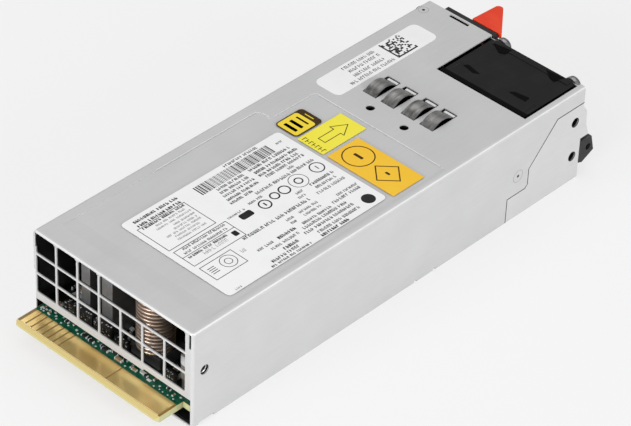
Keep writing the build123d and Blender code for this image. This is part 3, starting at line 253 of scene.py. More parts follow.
sheetFinishes = {
    # name, light and dark tone, roughness, streaks, relief, metallic, tone of the painted shade
    # inside, specular
    "cover_metal": ("coverSheet", (0.60, 0.60, 0.605), (0.555, 0.555, 0.56), (0.52, 0.64), 0.35,
                    0.02, 0.25, 0.01, 0.3),
    "base_metal": ("baseSheet", (0.64, 0.64, 0.645), (0.59, 0.59, 0.595), (0.52, 0.64), 0.35, 0.02,
                   0.25, 0.01, 0.3),
    "panel_metal": ("panelSheet", (0.60, 0.60, 0.605), (0.54, 0.54, 0.545), (0.36, 0.5), 0.35,
                    0.02, 0.45, 0.012),
    "screw_metal": ("screwSteel", (0.2, 0.2, 0.205), (0.13, 0.13, 0.135), (0.3, 0.42), 0.2, 0.02,
                    0.8),
    "spring_steel": ("springSteel", (0.34, 0.335, 0.33), (0.07, 0.068, 0.066), (0.24, 0.4), 0.75,
                     0.04, 0.85),
    "gold": ("goldPlate", (1.0, 0.77, 0.32), (0.74, 0.48, 0.15), (0.22, 0.25), 0.0, 0.0, 0.62),
    "post_metal": ("postBrass", (0.62, 0.5, 0.28), (0.5, 0.38, 0.18), (0.25, 0.4), 0.2, 0.02, 1.0),
    "bearing_bronze": ("bearingBronze", (0.6, 0.42, 0.22), (0.5, 0.34, 0.16), (0.35, 0.5), 0.2,
                       0.02, 1.0),
    "motor_copper": ("motorCopper", (0.62, 0.3, 0.13), (0.42, 0.19, 0.08), (0.25, 0.4), 0.6, 0.04,
                     1.0),
    "shaft_steel": ("shaftSteel", (0.66, 0.66, 0.67), (0.5, 0.5, 0.51), (0.15, 0.28), 0.2, 0.01,
                    1.0),
    "guard_chrome": ("guardWire", (0.36, 0.36, 0.37), (0.26, 0.26, 0.27), (0.2, 0.32), 0.2, 0.01,
                     0.9),
    "pin_metal": ("pinNickel", (0.66, 0.64, 0.58), (0.52, 0.5, 0.45), (0.2, 0.32), 0.2, 0.02, 1.0),
    "catch_steel": ("catchSteel", (0.6, 0.6, 0.61), (0.45, 0.45, 0.46), (0.25, 0.4), 0.4, 0.03,
                    1.0),
    "coil_copper": ("coilCopper", (0.74, 0.61, 0.53), (0.36, 0.26, 0.20), (0.26, 0.38), 0.3, 0.01,
                    0.9),
    "sink_aluminium": ("sinkAluminium", (0.30, 0.30, 0.31), (0.24, 0.24, 0.25), (0.35, 0.5), 0.8,
                       0.03, 0.9),
    "can_aluminium": ("canAluminium", (0.66, 0.66, 0.67), (0.55, 0.55, 0.56), (0.25, 0.4), 0.4,
                      0.02, 0.9),
}
grainedFinishes = {
    # name, tone, worn tone, roughness, grain, relief, coat, specular
    "black_film": ("blackFilm", (0.012, 0.012, 0.013), (0.02, 0.02, 0.021), (0.25, 0.35), 900.0,
                   0.02),
    "fan_plastic": ("fanPlastic", (0.0055, 0.0055, 0.006), (0.010, 0.010, 0.011), (0.34, 0.48),
                    1500.0, 0.03, 0.0, 0.14),
    "rotor_plastic": ("rotorPlastic", (0.014, 0.014, 0.015), (0.026, 0.026, 0.027), (0.32, 0.48),
                      1500.0, 0.03),
    "inlet_plastic": ("inletPlastic", (0.012, 0.012, 0.013), (0.022, 0.022, 0.023), (0.35, 0.5),
                      1500.0, 0.03),
    "housing_plastic": ("housingPlastic", (0.010, 0.010, 0.011), (0.018, 0.018, 0.019),
                        (0.4, 0.55), 2200.0, 0.05, 0.0, 0.3),
    "latch_orange": ("latchOrange", (0.78, 0.046, 0.012), (0.84, 0.066, 0.02), (0.42, 0.55),
                     2200.0, 0.04, 0.0, 0.25),
    "light_lens": ("lightGuide", (0.55, 0.75, 0.55), (0.6, 0.8, 0.6), (0.15, 0.25), 900.0, 0.01,
                   0.3),
    "handle_plastic": ("handlePlastic", (0.010, 0.010, 0.011), (0.02, 0.02, 0.021), (0.38, 0.55),
                       2200.0, 0.06, 0.0, 0.35),
    "ferrite": ("ferrite", (0.025, 0.025, 0.027), (0.04, 0.04, 0.042), (0.5, 0.7), 2600.0, 0.08),
    "device_plastic": ("devicePlastic", (0.012, 0.012, 0.012), (0.02, 0.02, 0.02), (0.4, 0.55),
                       2600.0, 0.05),
    "winding_tape": ("windingTape", (0.62, 0.5, 0.06), (0.68, 0.56, 0.1), (0.3, 0.45), 600.0,
                     0.02),
    "sleeve_plastic": ("capacitorSleeve", (0.012, 0.012, 0.02), (0.02, 0.02, 0.03), (0.2, 0.3),
                       900.0, 0.01, 0.3),
    "choke_green": ("chokeCoating", (0.02, 0.09, 0.045), (0.03, 0.12, 0.06), (0.4, 0.55), 1800.0,
                    0.06),
    "film_capacitor": ("filmCapacitor", (0.5, 0.42, 0.13), (0.55, 0.47, 0.17), (0.25, 0.35), 900.0,
                       0.02),
    "relay_plastic": ("relayPlastic", (0.03, 0.03, 0.033), (0.045, 0.045, 0.05), (0.35, 0.5),
                      1500.0, 0.03),
    "fuse_ceramic": ("fuseCeramic", (0.72, 0.7, 0.64), (0.66, 0.63, 0.56), (0.35, 0.5), 1500.0,
                     0.03),
}

finishes = {slot: makeSheetMetal(*look) for slot, look in sheetFinishes.items()}
finishes.update({slot: makeGrained(*look) for slot, look in grainedFinishes.items()})


boardLook = {
    "mask": (0.0, 0.075, 0.038, 1), "track": (0.012, 0.14, 0.075, 1), "rough": (0.25, 0.4),
    # sawn edge, bevelled tip, bare laminate between the gold faces, and the painted shade far
    # inside
    "edge": (0.50, 0.50, 0.27, 1), "tip": (0.62, 0.50, 0.20, 1), "bare": (0.26, 0.16, 0.04, 1),
    "inner": (0.004, 0.010, 0.007, 1),
    # from where to where along the case the mask begins, and the painted shade inside
    "maskStart": (-1.75, -1.55), "insideStart": (2.6, 4.2),
}


# circuit board: green solder mask with copper tracks under it, bare glass laminate at the edges
def makeBoardMaterial(name):
    material, tree, shader = startMaterial(name)
    place = addNode(tree, "ShaderNodeTexCoord").outputs["Object"]
    tracks = addNode(tree, "ShaderNodeTexBrick", {"offset": 0.35, "squash": 1.0},
                     {"Vector": place, "Scale": 240.0, "Mortar Size": 0.16, "Brick Width": 1.7,
                      "Row Height": 0.42}).outputs["Fac"]
    grain = addNoise(tree, place, 500.0, 3.0)
    share = combine(tree, "MULTIPLY", tracks, ramp(tree, grain, 0.4, 0.6))
    color = mixColors(tree, share, boardLook["mask"], boardLook["track"])
    # in front of the case the mask ends and bare laminate runs between the gold faces
    along = addNode(tree, "ShaderNodeSeparateXYZ", {}, {0: place}).outputs["Y"]
    masked, inside = (rise(tree, along, casePoint(0, start, 0).y, casePoint(0, end, 0).y)
                      for start, end in (boardLook["maskStart"], boardLook["insideStart"]))
    color = mixColors(tree, masked, boardLook["bare"], color)
    # the sawn edge and the bevelled tip are pale laminate
    normal = addNode(tree, "ShaderNodeNewGeometry").outputs["Normal"]
    rising = addNode(tree, "ShaderNodeSeparateXYZ", {}, {0: normal}).outputs["Z"]
    steep = addNode(tree, "ShaderNodeMath", {"operation": "ABSOLUTE"}, {0: rising}).outputs[0]
    edge = mixColors(tree, ramp(tree, steep, 0.1, 0.3), boardLook["edge"], boardLook["tip"])
    color = mixColors(tree, ramp(tree, steep, 0.93, 0.97), edge, color)
    # painted shade: far inside the case the board is darkened to stand in for the shade there
    shade = addNode(tree, "ShaderNodeGroup", {"node_tree": insideShadeGroup},
                    {"Color": color, "Inner Shade": boardLook["inner"]})
    low, high = boardLook["rough"]
    rough = addNode(tree, "ShaderNodeMapRange", {}, {0: grain, "To Min": low, "To Max": high})
    feed(tree, shader, {"Base Color": mixColors(tree, inside, color, shade.outputs["Color"]),
                        "Roughness": rough.outputs[0],
                        "Normal": addRelief(tree, 0.3, 0.00004, tracks)})
    return material


finishes["board_laminate"] = makeBoardMaterial("boardMask")
finishes["inlet_laminate"] = finishes["board_laminate"]

# label stock, print inks and small parts
paperWhite = makeGrained("labelWhite", (0.90, 0.90, 0.905), (0.87, 0.87, 0.875), (0.3, 0.42),
                         900.0, 0.02)
paperYellow = makeGrained("labelYellow", (0.90, 0.68, 0.035), (0.92, 0.71, 0.045), (0.4, 0.5),
                          900.0, 0.02, 0.0, 0.25)
paperAmber = makeGrained("labelAmber", (0.92, 0.54, 0.025), (0.93, 0.57, 0.035), (0.4, 0.5), 900.0,
                         0.02, 0.0, 0.25)
# print ink on the labels, and painted shade in the grooves and recesses of the case screws
inkAndShadeDark = makeGrained("inkAndShadeDark", (0.012, 0.012, 0.013), (0.03, 0.03, 0.031), (0.5, 0.65), 1800.0,
                      0.02, 0.0, 0.15)
inkBrown = makeGrained("inkBrown", (0.05, 0.024, 0.003), (0.07, 0.034, 0.006), (0.5, 0.65), 1800.0,
                       0.02, 0.0, 0.15)
solderBright = makeSheetMetal("solderBright", (0.9, 0.92, 0.9), (0.7, 0.74, 0.72), (0.25, 0.4),
                              0.2, 0.03, 0.15)
chipBlack = makeGrained("chipBlack", (0.015, 0.015, 0.016), (0.03, 0.03, 0.031), (0.4, 0.6),
                        3000.0, 0.05)
chipTan = makeGrained("chipTan", (0.30, 0.2, 0.12), (0.38, 0.27, 0.17), (0.4, 0.6), 3000.0, 0.05)
paperLemon = makeGrained("labelLemon", (0.90, 0.80, 0.055), (0.92, 0.83, 0.07), (0.4, 0.5), 900.0,
                         0.02, 0.0, 0.25)
inkGrey = makeGrained("inkGrey", (0.07, 0.07, 0.073), (0.11, 0.11, 0.113), (0.4, 0.55), 1800.0,
                      0.02)
inkPale = makeGrained("inkPale", (0.24, 0.24, 0.25), (0.3, 0.3, 0.31), (0.4, 0.55), 1800.0, 0.02)
# painted shade: flat black for the pockets, recesses, gaps and seams where shade falls
shadeBlack = makeGrained("shadeBlack", (0.002, 0.002, 0.002), (0.003, 0.003, 0.003), (0.6, 0.7),
                          1500.0, 0.02, 0.0, 0.05)
# painted highlight: a bright copy of the sheet metal for eased edges, folds, rims and tails that
# catch the light
highlightMetal = makeSheetMetal("paintedEdgeHighlight", (0.86, 0.86, 0.86), (0.78, 0.78, 0.78), (0.3, 0.4), 0.2, 0.01,
                          0.3, 0.05)
# painted shade: a slightly darker copy of the cover sheet on the grille flange's front faces,
# which tones down the light on them
flangeShadeMetal = makeSheetMetal("flangeShadedSheet", (0.58, 0.585, 0.59), (0.53, 0.535, 0.54), (0.45, 0.6),
                             0.35, 0.01, 0.2, 0.01, 0.3)
# painted highlight: pale gold for the bright line where the gold faces meet the bevelled tip
goldEdgeHighlight = makeGrained("goldEdgeHighlight", (0.92, 0.78, 0.46), (0.88, 0.72, 0.40), (0.3, 0.4), 1800.0, 0.0)

slotOf = {row["node"]: row["material_slot"] for row in frame["record"]["subparts"]}
bodyOf = {name: body for body, members in frame["record"]["behaviour"]["bodies"].items()
          for name in members}
for name, node in nodes.items():
    node.data.materials.clear()
    node.data.materials.append(finishes[slotOf[name]])
print("materials on", len(nodes), "nodes")


def newObject(name, data):
    made = bpy.data.objects.new(name, data)
    bpy.context.scene.collection.objects.link(made)
    return made


def meshObject(name, mesh, materials):
    data = bpy.data.meshes.new(name)
    mesh.to_mesh(data)
    mesh.free()
    for material in materials:
        data.materials.append(material)
    return newObject(name, data)


def finishPiece(name, mesh, materials, smooth=False, body="case"):
    piece = meshObject(name, mesh, materials)
    for face in piece.data.polygons:
        face.use_smooth = smooth
    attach(piece, body)
    return piece


def mergeInto(mesh, part, index=0):
    # adds a finished part to a piece's mesh, with one of the piece's materials
    for face in part.faces:
        face.material_index = index
    data = bpy.data.meshes.new("part")
    part.to_mesh(data)
    part.free()
    mesh.from_mesh(data)
    bpy.data.meshes.remove(data)


def addSlab(mesh, x, y, z, index=0, radius=0.0, corners=3):
    # flat slab from (low, high) pairs in case millimetres, with rounded upright corners
    low, high = casePoint(x[0], y[0], z[0]), casePoint(x[1], y[1], z[1])
    size = high - low
    made = bmesh.ops.create_cube(mesh, size=1.0)["verts"]
    bmesh.ops.scale(mesh, vec=size, verts=made)
    bmesh.ops.translate(mesh, vec=(low + high) / 2, verts=made)
    for face in {face for vert in made for face in vert.link_faces}:
        face.material_index = index
    if radius:
        upright = [edge for edge in {edge for vert in made for edge in vert.link_edges}
                   if abs(edge.verts[0].co.z - edge.verts[1].co.z) > size.z / 2]
        bmesh.ops.bevel(mesh, geom=upright, offset=radius / 1000, segments=corners,
                        affect="EDGES", profile=0.5, material=-1)


def addRound(mesh, centre, depth, outer, inner=0.0, index=0, segments=32, ease=0.0, axis="Z"):
    # ring or, with no bore, a disc round its axis, with eased corners where that shows
    part = bmesh.new()
    half, soft = depth / 2, depth / 2 - ease
    if inner:
        corners = [(outer, -half), (outer, half), (inner, half), (inner, -half)]
        if ease:
            corners = [(outer - ease, -half), (outer, -soft), (outer, soft), (outer - ease, half),
                       (inner + ease, half), (inner, soft), (inner, -soft), (inner + ease, -half)]
        section = [part.verts.new((reach / 1000, 0, level / 1000)) for reach, level in corners]
        edges = [part.edges.new(pair) for pair in zip(section, section[1:] + section[:1])]
        bmesh.ops.spin(part, geom=section + edges, cent=(0, 0, 0), axis=(0, 0, 1), angle=math.tau,
                       steps=segments, use_merge=True)
        bmesh.ops.recalc_face_normals(part, faces=part.faces[:])
    else:
        bmesh.ops.create_cone(part, cap_ends=True, segments=segments, radius1=outer / 1000,
                              radius2=outer / 1000, depth=depth / 1000)
    turn = {"X": Matrix.Rotation(math.pi / 2, 4, "Y"), "Y": Matrix.Rotation(math.pi / 2, 4, "X"),
            "Z": Matrix.Identity(4)}[axis]
    bmesh.ops.transform(part, matrix=Matrix.Translation(casePoint(*centre)) @ turn,
                        verts=part.verts[:])
    mergeInto(mesh, part, index)


def addOutline(mesh, x, y, z, width):
    # ruled box of four thin bars
    addSlab(mesh, x, (y[0], y[0] + width), z)
    addSlab(mesh, x, (y[1] - width, y[1]), z)
    addSlab(mesh, (x[0], x[0] + width), (y[0] + width, y[1] - width), z)
    addSlab(mesh, (x[1] - width, x[1]), (y[0] + width, y[1] - width), z)


def addPolygon(mesh, points, z, index=0, inset=0.0):
    # flat shape from its corners, given a thickness; with an inset only its outline stays
    part = bmesh.new()
    face = part.faces.new([part.verts.new(casePoint(x, y, z[0])) for x, y in points])
    face.normal_update()
    if inset:
        bmesh.ops.inset_individual(part, faces=[face], thickness=inset / 1000,
                                   use_even_offset=True)
        bmesh.ops.delete(part, geom=[face], context="FACES_ONLY")
    made = bmesh.ops.extrude_face_region(part, geom=part.faces[:])["geom"]
    lifted = [item for item in made if isinstance(item, bmesh.types.BMVert)]
    bmesh.ops.translate(part, vec=(0, 0, (z[1] - z[0]) / 1000), verts=lifted)
    bmesh.ops.recalc_face_normals(part, faces=part.faces[:])
    mergeInto(mesh, part, index)


cameraLook = {
    # turn, height and roll of the view, and how far it stands off
    "turn": 0.7334394, "lift": 0.6649918, "roll": 0.0452182, "distance": 1.049865, "lens": 177.67,
    # the point of the case that it looks at, and the picture's shift to the right and up
    "aim": (0, 90, 20), "right": 3.24424, "up": -1.91479,
}


def makeCamera():
    turn, lift, roll = cameraLook["turn"], cameraLook["lift"], cameraLook["roll"]
    back = Vector((math.sin(turn) * math.cos(lift), -math.cos(turn) * math.cos(lift),
                   math.sin(lift)))
    flatRight = Vector((math.cos(turn), math.sin(turn), 0))
    flatUp = back.cross(flatRight)
    right = math.cos(roll) * flatRight + math.sin(roll) * flatUp
    up = -math.sin(roll) * flatRight + math.cos(roll) * flatUp
    target = (casePoint(*cameraLook["aim"])
              + (cameraLook["right"] * right + cameraLook["up"] * up) / 1000)
    data = bpy.data.cameras.new("photoCamera")
    data.lens = cameraLook["lens"]
    data.sensor_width = 36
    data.clip_start = 0.01
    data.clip_end = 20
    turned = Matrix((right, up, back)).transposed().to_4x4()
    turned.translation = target + back * cameraLook["distance"]
    camera = newObject("photoCamera", data)
    camera.matrix_world = turned
    bpy.context.scene.camera = camera


# the floor glows pale where the camera sees it, and keeps the shadow
floorLook = {"diffuse": 0.86, "glow": 0.935, "glowShare": 0.72, "half": 3.0}


def makeFloor():
    material, tree, shader = startMaterial("paleFloor")
    rays = addNode(tree, "ShaderNodeLightPath").outputs
    seen = combine(tree, "MAXIMUM", rays["Is Camera Ray"], rays["Is Transmission Ray"])
    diffuse = addNode(tree, "ShaderNodeBsdfDiffuse", {}, {"Color": grey(floorLook["diffuse"])})
    glow = addNode(tree, "ShaderNodeEmission", {}, {"Color": grey(floorLook["glow"])})
    blend = addNode(tree, "ShaderNodeMixShader", {},
                    {0: combine(tree, "MULTIPLY", seen, floorLook["glowShare"]),
                     1: diffuse.outputs[0], 2: glow.outputs[0]})
    leave = next(node for node in tree.nodes if node.type == "OUTPUT_MATERIAL")
    feed(tree, leave, {0: blend.outputs[0]})
    tree.nodes.remove(shader)
    mesh = bmesh.new()
    bmesh.ops.create_grid(mesh, x_segments=2, y_segments=2, size=floorLook["half"])
    floor = meshObject("floor", mesh, [material])


# tone and strength of the light on the object, and of what the camera sees
worldLook = [(0.9, 0.55), (0.88, 1.0)]


def makeWorld():
    world = bpy.data.worlds.new("studio")
    bpy.context.scene.world = world
    world.use_nodes = True
    tree = world.node_tree
    tree.nodes.clear()
    path = addNode(tree, "ShaderNodeLightPath")
    plain, seen = (addNode(tree, "ShaderNodeBackground", {},
                           {"Color": grey(tone), "Strength": strength})
                   for tone, strength in worldLook)
    blend = addNode(tree, "ShaderNodeMixShader", {},
                    {0: path.outputs["Is Camera Ray"], 1: plain.outputs[0], 2: seen.outputs[0]})
    addNode(tree, "ShaderNodeOutputWorld", {}, {0: blend.outputs[0]})


lampLook = {
    # place, size and watts; each lamp faces the same point
    "sideLamp": ((1.3, 0.1, 0.42), (0.9, 0.6), 9.0),
    "frontLamp": ((0.1, -1.3, 0.45), (0.9, 0.6), 13.0),
    "topLamp": ((-0.4, 0.5, 1.3), (1.2, 1.2), 3.8),
}
lampAim = Vector((0, 0, 0.02))


def makeLamps():
    for name, (place, size, watts) in lampLook.items():
        data = bpy.data.lights.new(name, "AREA")
        data.shape = "RECTANGLE"
        data.size, data.size_y = size
        data.energy = watts
        turned = (Vector(place) - lampAim).to_track_quat("Z", "Y").to_matrix().to_4x4()
        turned.translation = place
        newObject(name, data).matrix_world = turned


makeCamera()
makeFloor()
makeWorld()
makeLamps()
print("camera, floor and light")


# every height of the print is told off from the top of the cover
top = caseHeight
paperLevel = (top, top + 0.05)
inkLevel = (top + 0.05, top + 0.06)


def addInk(mesh, x, y, index=0, corner=0.0):
    # flat mark on a label
    addSlab(mesh, x, y, inkLevel, index, corner)


def addInkRing(mesh, x, y, outer, inner=0.0, index=0, segments=32):
    addRound(mesh, (x, y, sum(inkLevel) / 2), inkLevel[1] - inkLevel[0], outer, inner, index,
             segments)


def addStrokes(mesh, x, first, last, height, bold, seed, index=0):
    # a row of small plain strokes that stands for fine print
    rng = random.Random(seed)
    at = first
    while at < last - 0.5:
        for _ in range(rng.randint(3, 9)):
            wide = rng.uniform(0.55, 0.8) * height
            if at + wide > last:
                break
            kind = rng.randint(0, 3)
            addInk(mesh, (x - height / 2, x + height / 2), (at, at + bold), index)
            if kind != 2:
                middle = x + rng.choice((-1, 0, 1)) * (height - bold) / 2
                addInk(mesh, (middle - bold / 2, middle + bold / 2), (at, at + wide * 0.75), index)
            if kind > 0:
                low, start = x - height / (2 if kind == 1 else 6), at + wide * 0.6
                addInk(mesh, (low, x + height / 2), (start, start + bold * 0.8), index)
            at += wide + bold * 0.5
        at += 0.6


mainLabel = {
    "x": (-18.9, 31.3), "y": (21.6, 95.2), "corner": 1.6, "line": 0.26,
    # ruled boxes, and blocks with their corners: across and along the case
    "boxes": [((-13.2, 1.9), (23.7, 45.1)), ((3.2, 13.0), (24.1, 47.8)),
              ((14.7, 22.9), (24.4, 38.6))],
    "blocks": [((7.35, 7.6), (24.2, 47.7), 0), ((8.7, 11.3), (44.6, 46.7), 0.4),
               ((3.0, 5.0), (90.0, 90.4), 0), ((5.1, 6.9), (63.2, 63.8), 0),
               ((4.2, 7.2), (52.4, 57.8), 0.8), ((16.9, 17.2), (25.8, 28.8), 0),
               ((17.85, 18.15), (25.8, 28.8), 0), ((18.8, 19.1), (25.8, 28.8), 0),
               ((19.75, 20.05), (25.8, 28.8), 0)],
    # plain rings: place, outer and inner radius
    "rings": [(18.5, 34.0, 3.1, 2.85), (18.5, 34.0, 1.5, 1.25), (4.0, 90.2, 2.8, 2.35),
              (4.8, 80.5, 3.6, 3.35), (4.8, 80.5, 1.7, 1.2), (5.0, 73.6, 2.3, 1.75),
              (5.0, 69.0, 1.9, 1.35), (6.0, 63.5, 2.45, 1.9)],
    "disc": (27.4, 90.2, 2.5),
    # bars across the left long edge, and the widths and gaps that they are drawn from
    "barX": (-16.4, -11.4), "barY": (52.2, 86.6), "barWidths": (0.18, 0.18, 0.3, 0.5),
    "barGaps": (0.22, 0.3, 0.45),
    # rows of strokes: across from the middle, from and to along the case, height, boldness
    "rows": [
        (-16.5, 25.6, 45.4, 1.3, 0.40), (-14.2, 25.2, 45.6, 1.3, 0.40),
        (-12.2, 25.5, 44.6, 1.1, 0.34), (4.2, 27.5, 46.5, 1.1, 0.24), (6.2, 26.4, 46.3, 1.1, 0.24),
        (8.6, 25.9, 43.6, 1.1, 0.3), (-17.7, 68.0, 84.2, 1.2, 0.28),
        (-10.2, 57.5, 70.6, 1.2, 0.28), (-8.2, 57.0, 70.7, 1.2, 0.28),
        (-6.2, 56.5, 70.9, 1.2, 0.3), (-4.0, 56.0, 70.6, 1.2, 0.3), (-2.0, 55.5, 65.5, 1.2, 0.3),
        (-10.3, 72.4, 92.6, 1.3, 0.32), (-8.0, 72.9, 93.2, 1.3, 0.34),
        (-6.0, 72.9, 92.8, 1.3, 0.34), (-4.1, 74.3, 93.0, 1.3, 0.3), (-2.1, 82.6, 86.0, 1.2, 0.26),
        (0.0, 65.3, 93.2, 1.4, 0.3), (2.2, 59.6, 66.5, 1.1, 0.24), (3.0, 49.2, 57.2, 1.0, 0.22),
        (-14.4, 89.6, 93.0, 0.9, 0.2), (9.2, 74.8, 78.2, 1.1, 0.22), (11.4, 73.8, 77.8, 1.1, 0.22),
        (9.1, 81.6, 93.2, 1.3, 0.34), (11.4, 82.0, 92.4, 1.2, 0.3), (13.9, 80.1, 93.6, 1.3, 0.26),
        (13.9, 45.3, 76.7, 1.4, 0.34), (16.9, 62.3, 66.1, 1.1, 0.24),
        (19.0, 62.4, 66.1, 1.1, 0.24), (16.8, 68.3, 77.1, 1.1, 0.22),
        (18.9, 68.6, 77.0, 1.1, 0.22), (19.0, 84.0, 93.9, 1.1, 0.24),
        (21.4, 44.4, 51.4, 1.2, 0.24), (21.4, 53.7, 63.1, 1.4, 0.42), (20.9, 80.0, 93.6, 1.3, 0.3),
        (21.6, 65.0, 78.5, 1.2, 0.3), (23.9, 48.2, 61.1, 1.2, 0.26), (23.5, 63.3, 84.5, 1.3, 0.3),
        (26.5, 51.2, 58.0, 1.4, 0.42), (25.7, 61.8, 85.0, 1.3, 0.34), (28.2, 65.4, 85.2, 1.3, 0.3),
        (28.5, 43.7, 57.7, 1.3, 0.34), (30.2, 64.9, 78.3, 1.3, 0.42),
        (30.3, 41.8, 60.5, 1.0, 0.28),
    ],
    "paleRows": [
        (-10.5, 29.8, 43.0, 0.9, 0.2), (-8.8, 28.6, 44.2, 0.9, 0.2), (-7.0, 34.4, 44.2, 0.9, 0.2),
        (-5.3, 33.0, 43.8, 0.9, 0.2), (-3.7, 28.3, 43.8, 0.9, 0.2), (-2.1, 30.5, 42.0, 0.9, 0.2),
        (-0.4, 30.0, 43.3, 0.9, 0.2), (10.4, 31.0, 42.5, 1.6, 0.2), (30.2, 25.4, 28.2, 0.9, 0.2),
        (17.9, 40.3, 43.0, 1.6, 0.2),
    ],
}


def makeMainLabel():
    stock, marks = bmesh.new(), bmesh.new()
    addSlab(stock, mainLabel["x"], mainLabel["y"], paperLevel, 0, mainLabel["corner"])
    finishPiece("main_label", stock, [paperWhite])
    for x, y in mainLabel["boxes"]:
        addOutline(marks, x, y, inkLevel, mainLabel["line"])
    for x, y, corner in mainLabel["blocks"]:
        addInk(marks, x, y, 0, corner)
    for ring in mainLabel["rings"]:
        addInkRing(marks, *ring)
    addInkRing(marks, *mainLabel["disc"], segments=28)
    for seed, row in enumerate(mainLabel["rows"]):
        addStrokes(marks, *row, seed)
    rng = random.Random(11)
    at = mainLabel["barY"][0]
    while at < mainLabel["barY"][1]:
        wide = rng.choice(mainLabel["barWidths"])
        addInk(marks, mainLabel["barX"], (at, at + wide))
        at += wide + rng.choice(mainLabel["barGaps"])
    for seed, row in enumerate(mainLabel["paleRows"], 100):
        addStrokes(marks, *row, seed, 2)
    finishPiece("label_print", marks, [inkAndShadeDark, inkGrey, inkPale])


sideLabel = {
    "x": (-30.5, -18.5), "y": (124.6, 176.4), "corner": 2.6,
    # block of small squares: how many a side, its corner, their pitch, and how many are dark
    "cells": 14, "left": -29.7, "front": 156.7, "pitch": 0.72, "fill": 0.96, "share": 0.46,
    "rows": [(-28.6, 137.2, 154.2), (-26.0, 137.9, 154.3), (-23.2, 137.4, 153.8),
             (-20.5, 133.1, 155.1)],
    "height": 1.5, "bold": 0.26,
}


def makeSideLabel():
    # white strip beside the fingers
    stock, marks = bmesh.new(), bmesh.new()
    addSlab(stock, sideLabel["x"], sideLabel["y"], paperLevel, 0, sideLabel["corner"], 5)
    finishPiece("side_label", stock, [paperWhite])
    rng = random.Random(5)
    cells, pitch = sideLabel["cells"], sideLabel["pitch"]
    side = pitch * sideLabel["fill"]
    for row in range(cells):
        for column in range(cells):
            if row == cells - 1 or column == 0 or rng.random() < sideLabel["share"]:
                x, y = sideLabel["left"] + row * pitch, sideLabel["front"] + column * pitch
                addInk(marks, (x, x + side), (y, y + side))
    for seed, row in enumerate(sideLabel["rows"], 40):
        addStrokes(marks, *row, sideLabel["height"], sideLabel["bold"], seed)
    finishPiece("side_label_print", marks, [inkAndShadeDark])


yellowSticker = {
    # brown border, yellow field, three bars and a foot line
    "border": ((-22.7, -12.3), (97.2, 110.6)), "field": ((-22.2, -12.8), (97.7, 107.6)),
    "barX": (-20.4, -14.6), "bars": [(99.2, 100.6), (102.0, 103.4), (105.2, 106.0)],
    "foot": ((-19.6, -15.4), (108.8, 109.2)),
}
arrowSticker = {
    "x": (-11.4, 0.6), "y": (96.8, 118.1), "line": 0.32,
    "points": [(-5.3, 115.5), (-1.7, 109.6), (-3.4, 109.6), (-3.4, 102.0), (-6.9, 102.0),
               (-6.9, 109.6), (-8.9, 109.6)],
    # a row of hooks along the front edge, with their feet at two heights in turn
    "hooks": 7, "first": -10.2, "pitch": 1.5, "hookY": (97.6, 99.5),
    "feet": [(99.2, 99.5), (98.3, 98.6)],
}
amberSticker = {
    "x": (2.2, 32.3), "y": (97.1, 112.2), "ring": (9.4, 104.7, 5.8, 5.35), "line": 0.45,
    "diamond": [(22.6, 99.2), (28.6, 104.8), (22.6, 110.4), (16.6, 104.8)],
    "bars": [((7.4, 11.4), (104.1, 105.3)), ((21.6, 23.6), (104.3, 105.3))],
}


def makeColouredStickers():
    # small yellow square, arrow sticker and amber sticker, each with plain shapes only
    square, arrow, amber = bmesh.new(), bmesh.new(), bmesh.new()
    addSlab(square, *yellowSticker["border"], paperLevel, 1, 1.6, 4)
    addSlab(square, *yellowSticker["field"], inkLevel, 0, 1.1, 4)
    for y in yellowSticker["bars"]:
        addInk(square, yellowSticker["barX"], y, 1, 0.3)
    addInk(square, *yellowSticker["foot"], 0, 0.15)
    finishPiece("yellow_sticker", square, [paperYellow, inkBrown])
    addSlab(arrow, arrowSticker["x"], arrowSticker["y"], paperLevel, 0, 0.3)
    addPolygon(arrow, arrowSticker["points"], inkLevel, 1, arrowSticker["line"])
    for place in range(arrowSticker["hooks"]):
        x = arrowSticker["first"] + place * arrowSticker["pitch"]
        addInk(arrow, (x, x + 0.32), arrowSticker["hookY"], 1)
        addInk(arrow, (x, x + 1.0), arrowSticker["feet"][place % 2], 1)
    finishPiece("arrow_sticker", arrow, [paperLemon, inkBrown])
    addSlab(amber, amberSticker["x"], amberSticker["y"], paperLevel, 0, 0.3)
    addInkRing(amber, *amberSticker["ring"], 1, 40)
    addPolygon(amber, amberSticker["diamond"], inkLevel, 1, amberSticker["line"])
    for x, y in amberSticker["bars"]:
        addInk(amber, x, y, 1, 0.3)
    finishPiece("amber_sticker", amber, [paperAmber, inkBrown])


makeMainLabel()
makeSideLabel()
makeColouredStickers()
print("labels")


coilLook = {"x": 9.2, "y": 10.8, "outer": 6.5, "inner": 4.0, "first": 12.6, "pitch": 1.5,
            "thickness": 0.95, "turns": 16, "sides": 48, "ease": 0.2, "foot": 7.9, "core": 3.6}


def makeCoil():
    # flat copper strip on edge, turn over turn, on a dark foot and core
    core, mesh = bmesh.new(), bmesh.new()
    x, y, foot, first = coilLook["x"], coilLook["y"], coilLook["foot"], coilLook["first"]
    half = coilLook["outer"] + 0.3
    addSlab(core, (x - half, x + half), (y - half + 2, y + half), (foot, first - 0.1), 0, 0.6)
    rise = first + coilLook["turns"] * coilLook["pitch"] + 0.4
    addRound(core, (x, y, (foot + rise) / 2), rise - foot, coilLook["core"], segments=40)
    coreBody = finishPiece("coil_former", core, [finishes["ferrite"]])
    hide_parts("coil_core")
    for turn in range(coilLook["turns"]):
        middle = first + turn * coilLook["pitch"] + coilLook["thickness"] / 2
        addRound(mesh, (x, y, middle), coilLook["thickness"], coilLook["outer"],
                 coilLook["inner"], 0, coilLook["sides"], coilLook["ease"])
    coil = finishPiece("wound_coil", mesh, [finishes["coil_copper"]], True)
    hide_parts("output_coil")


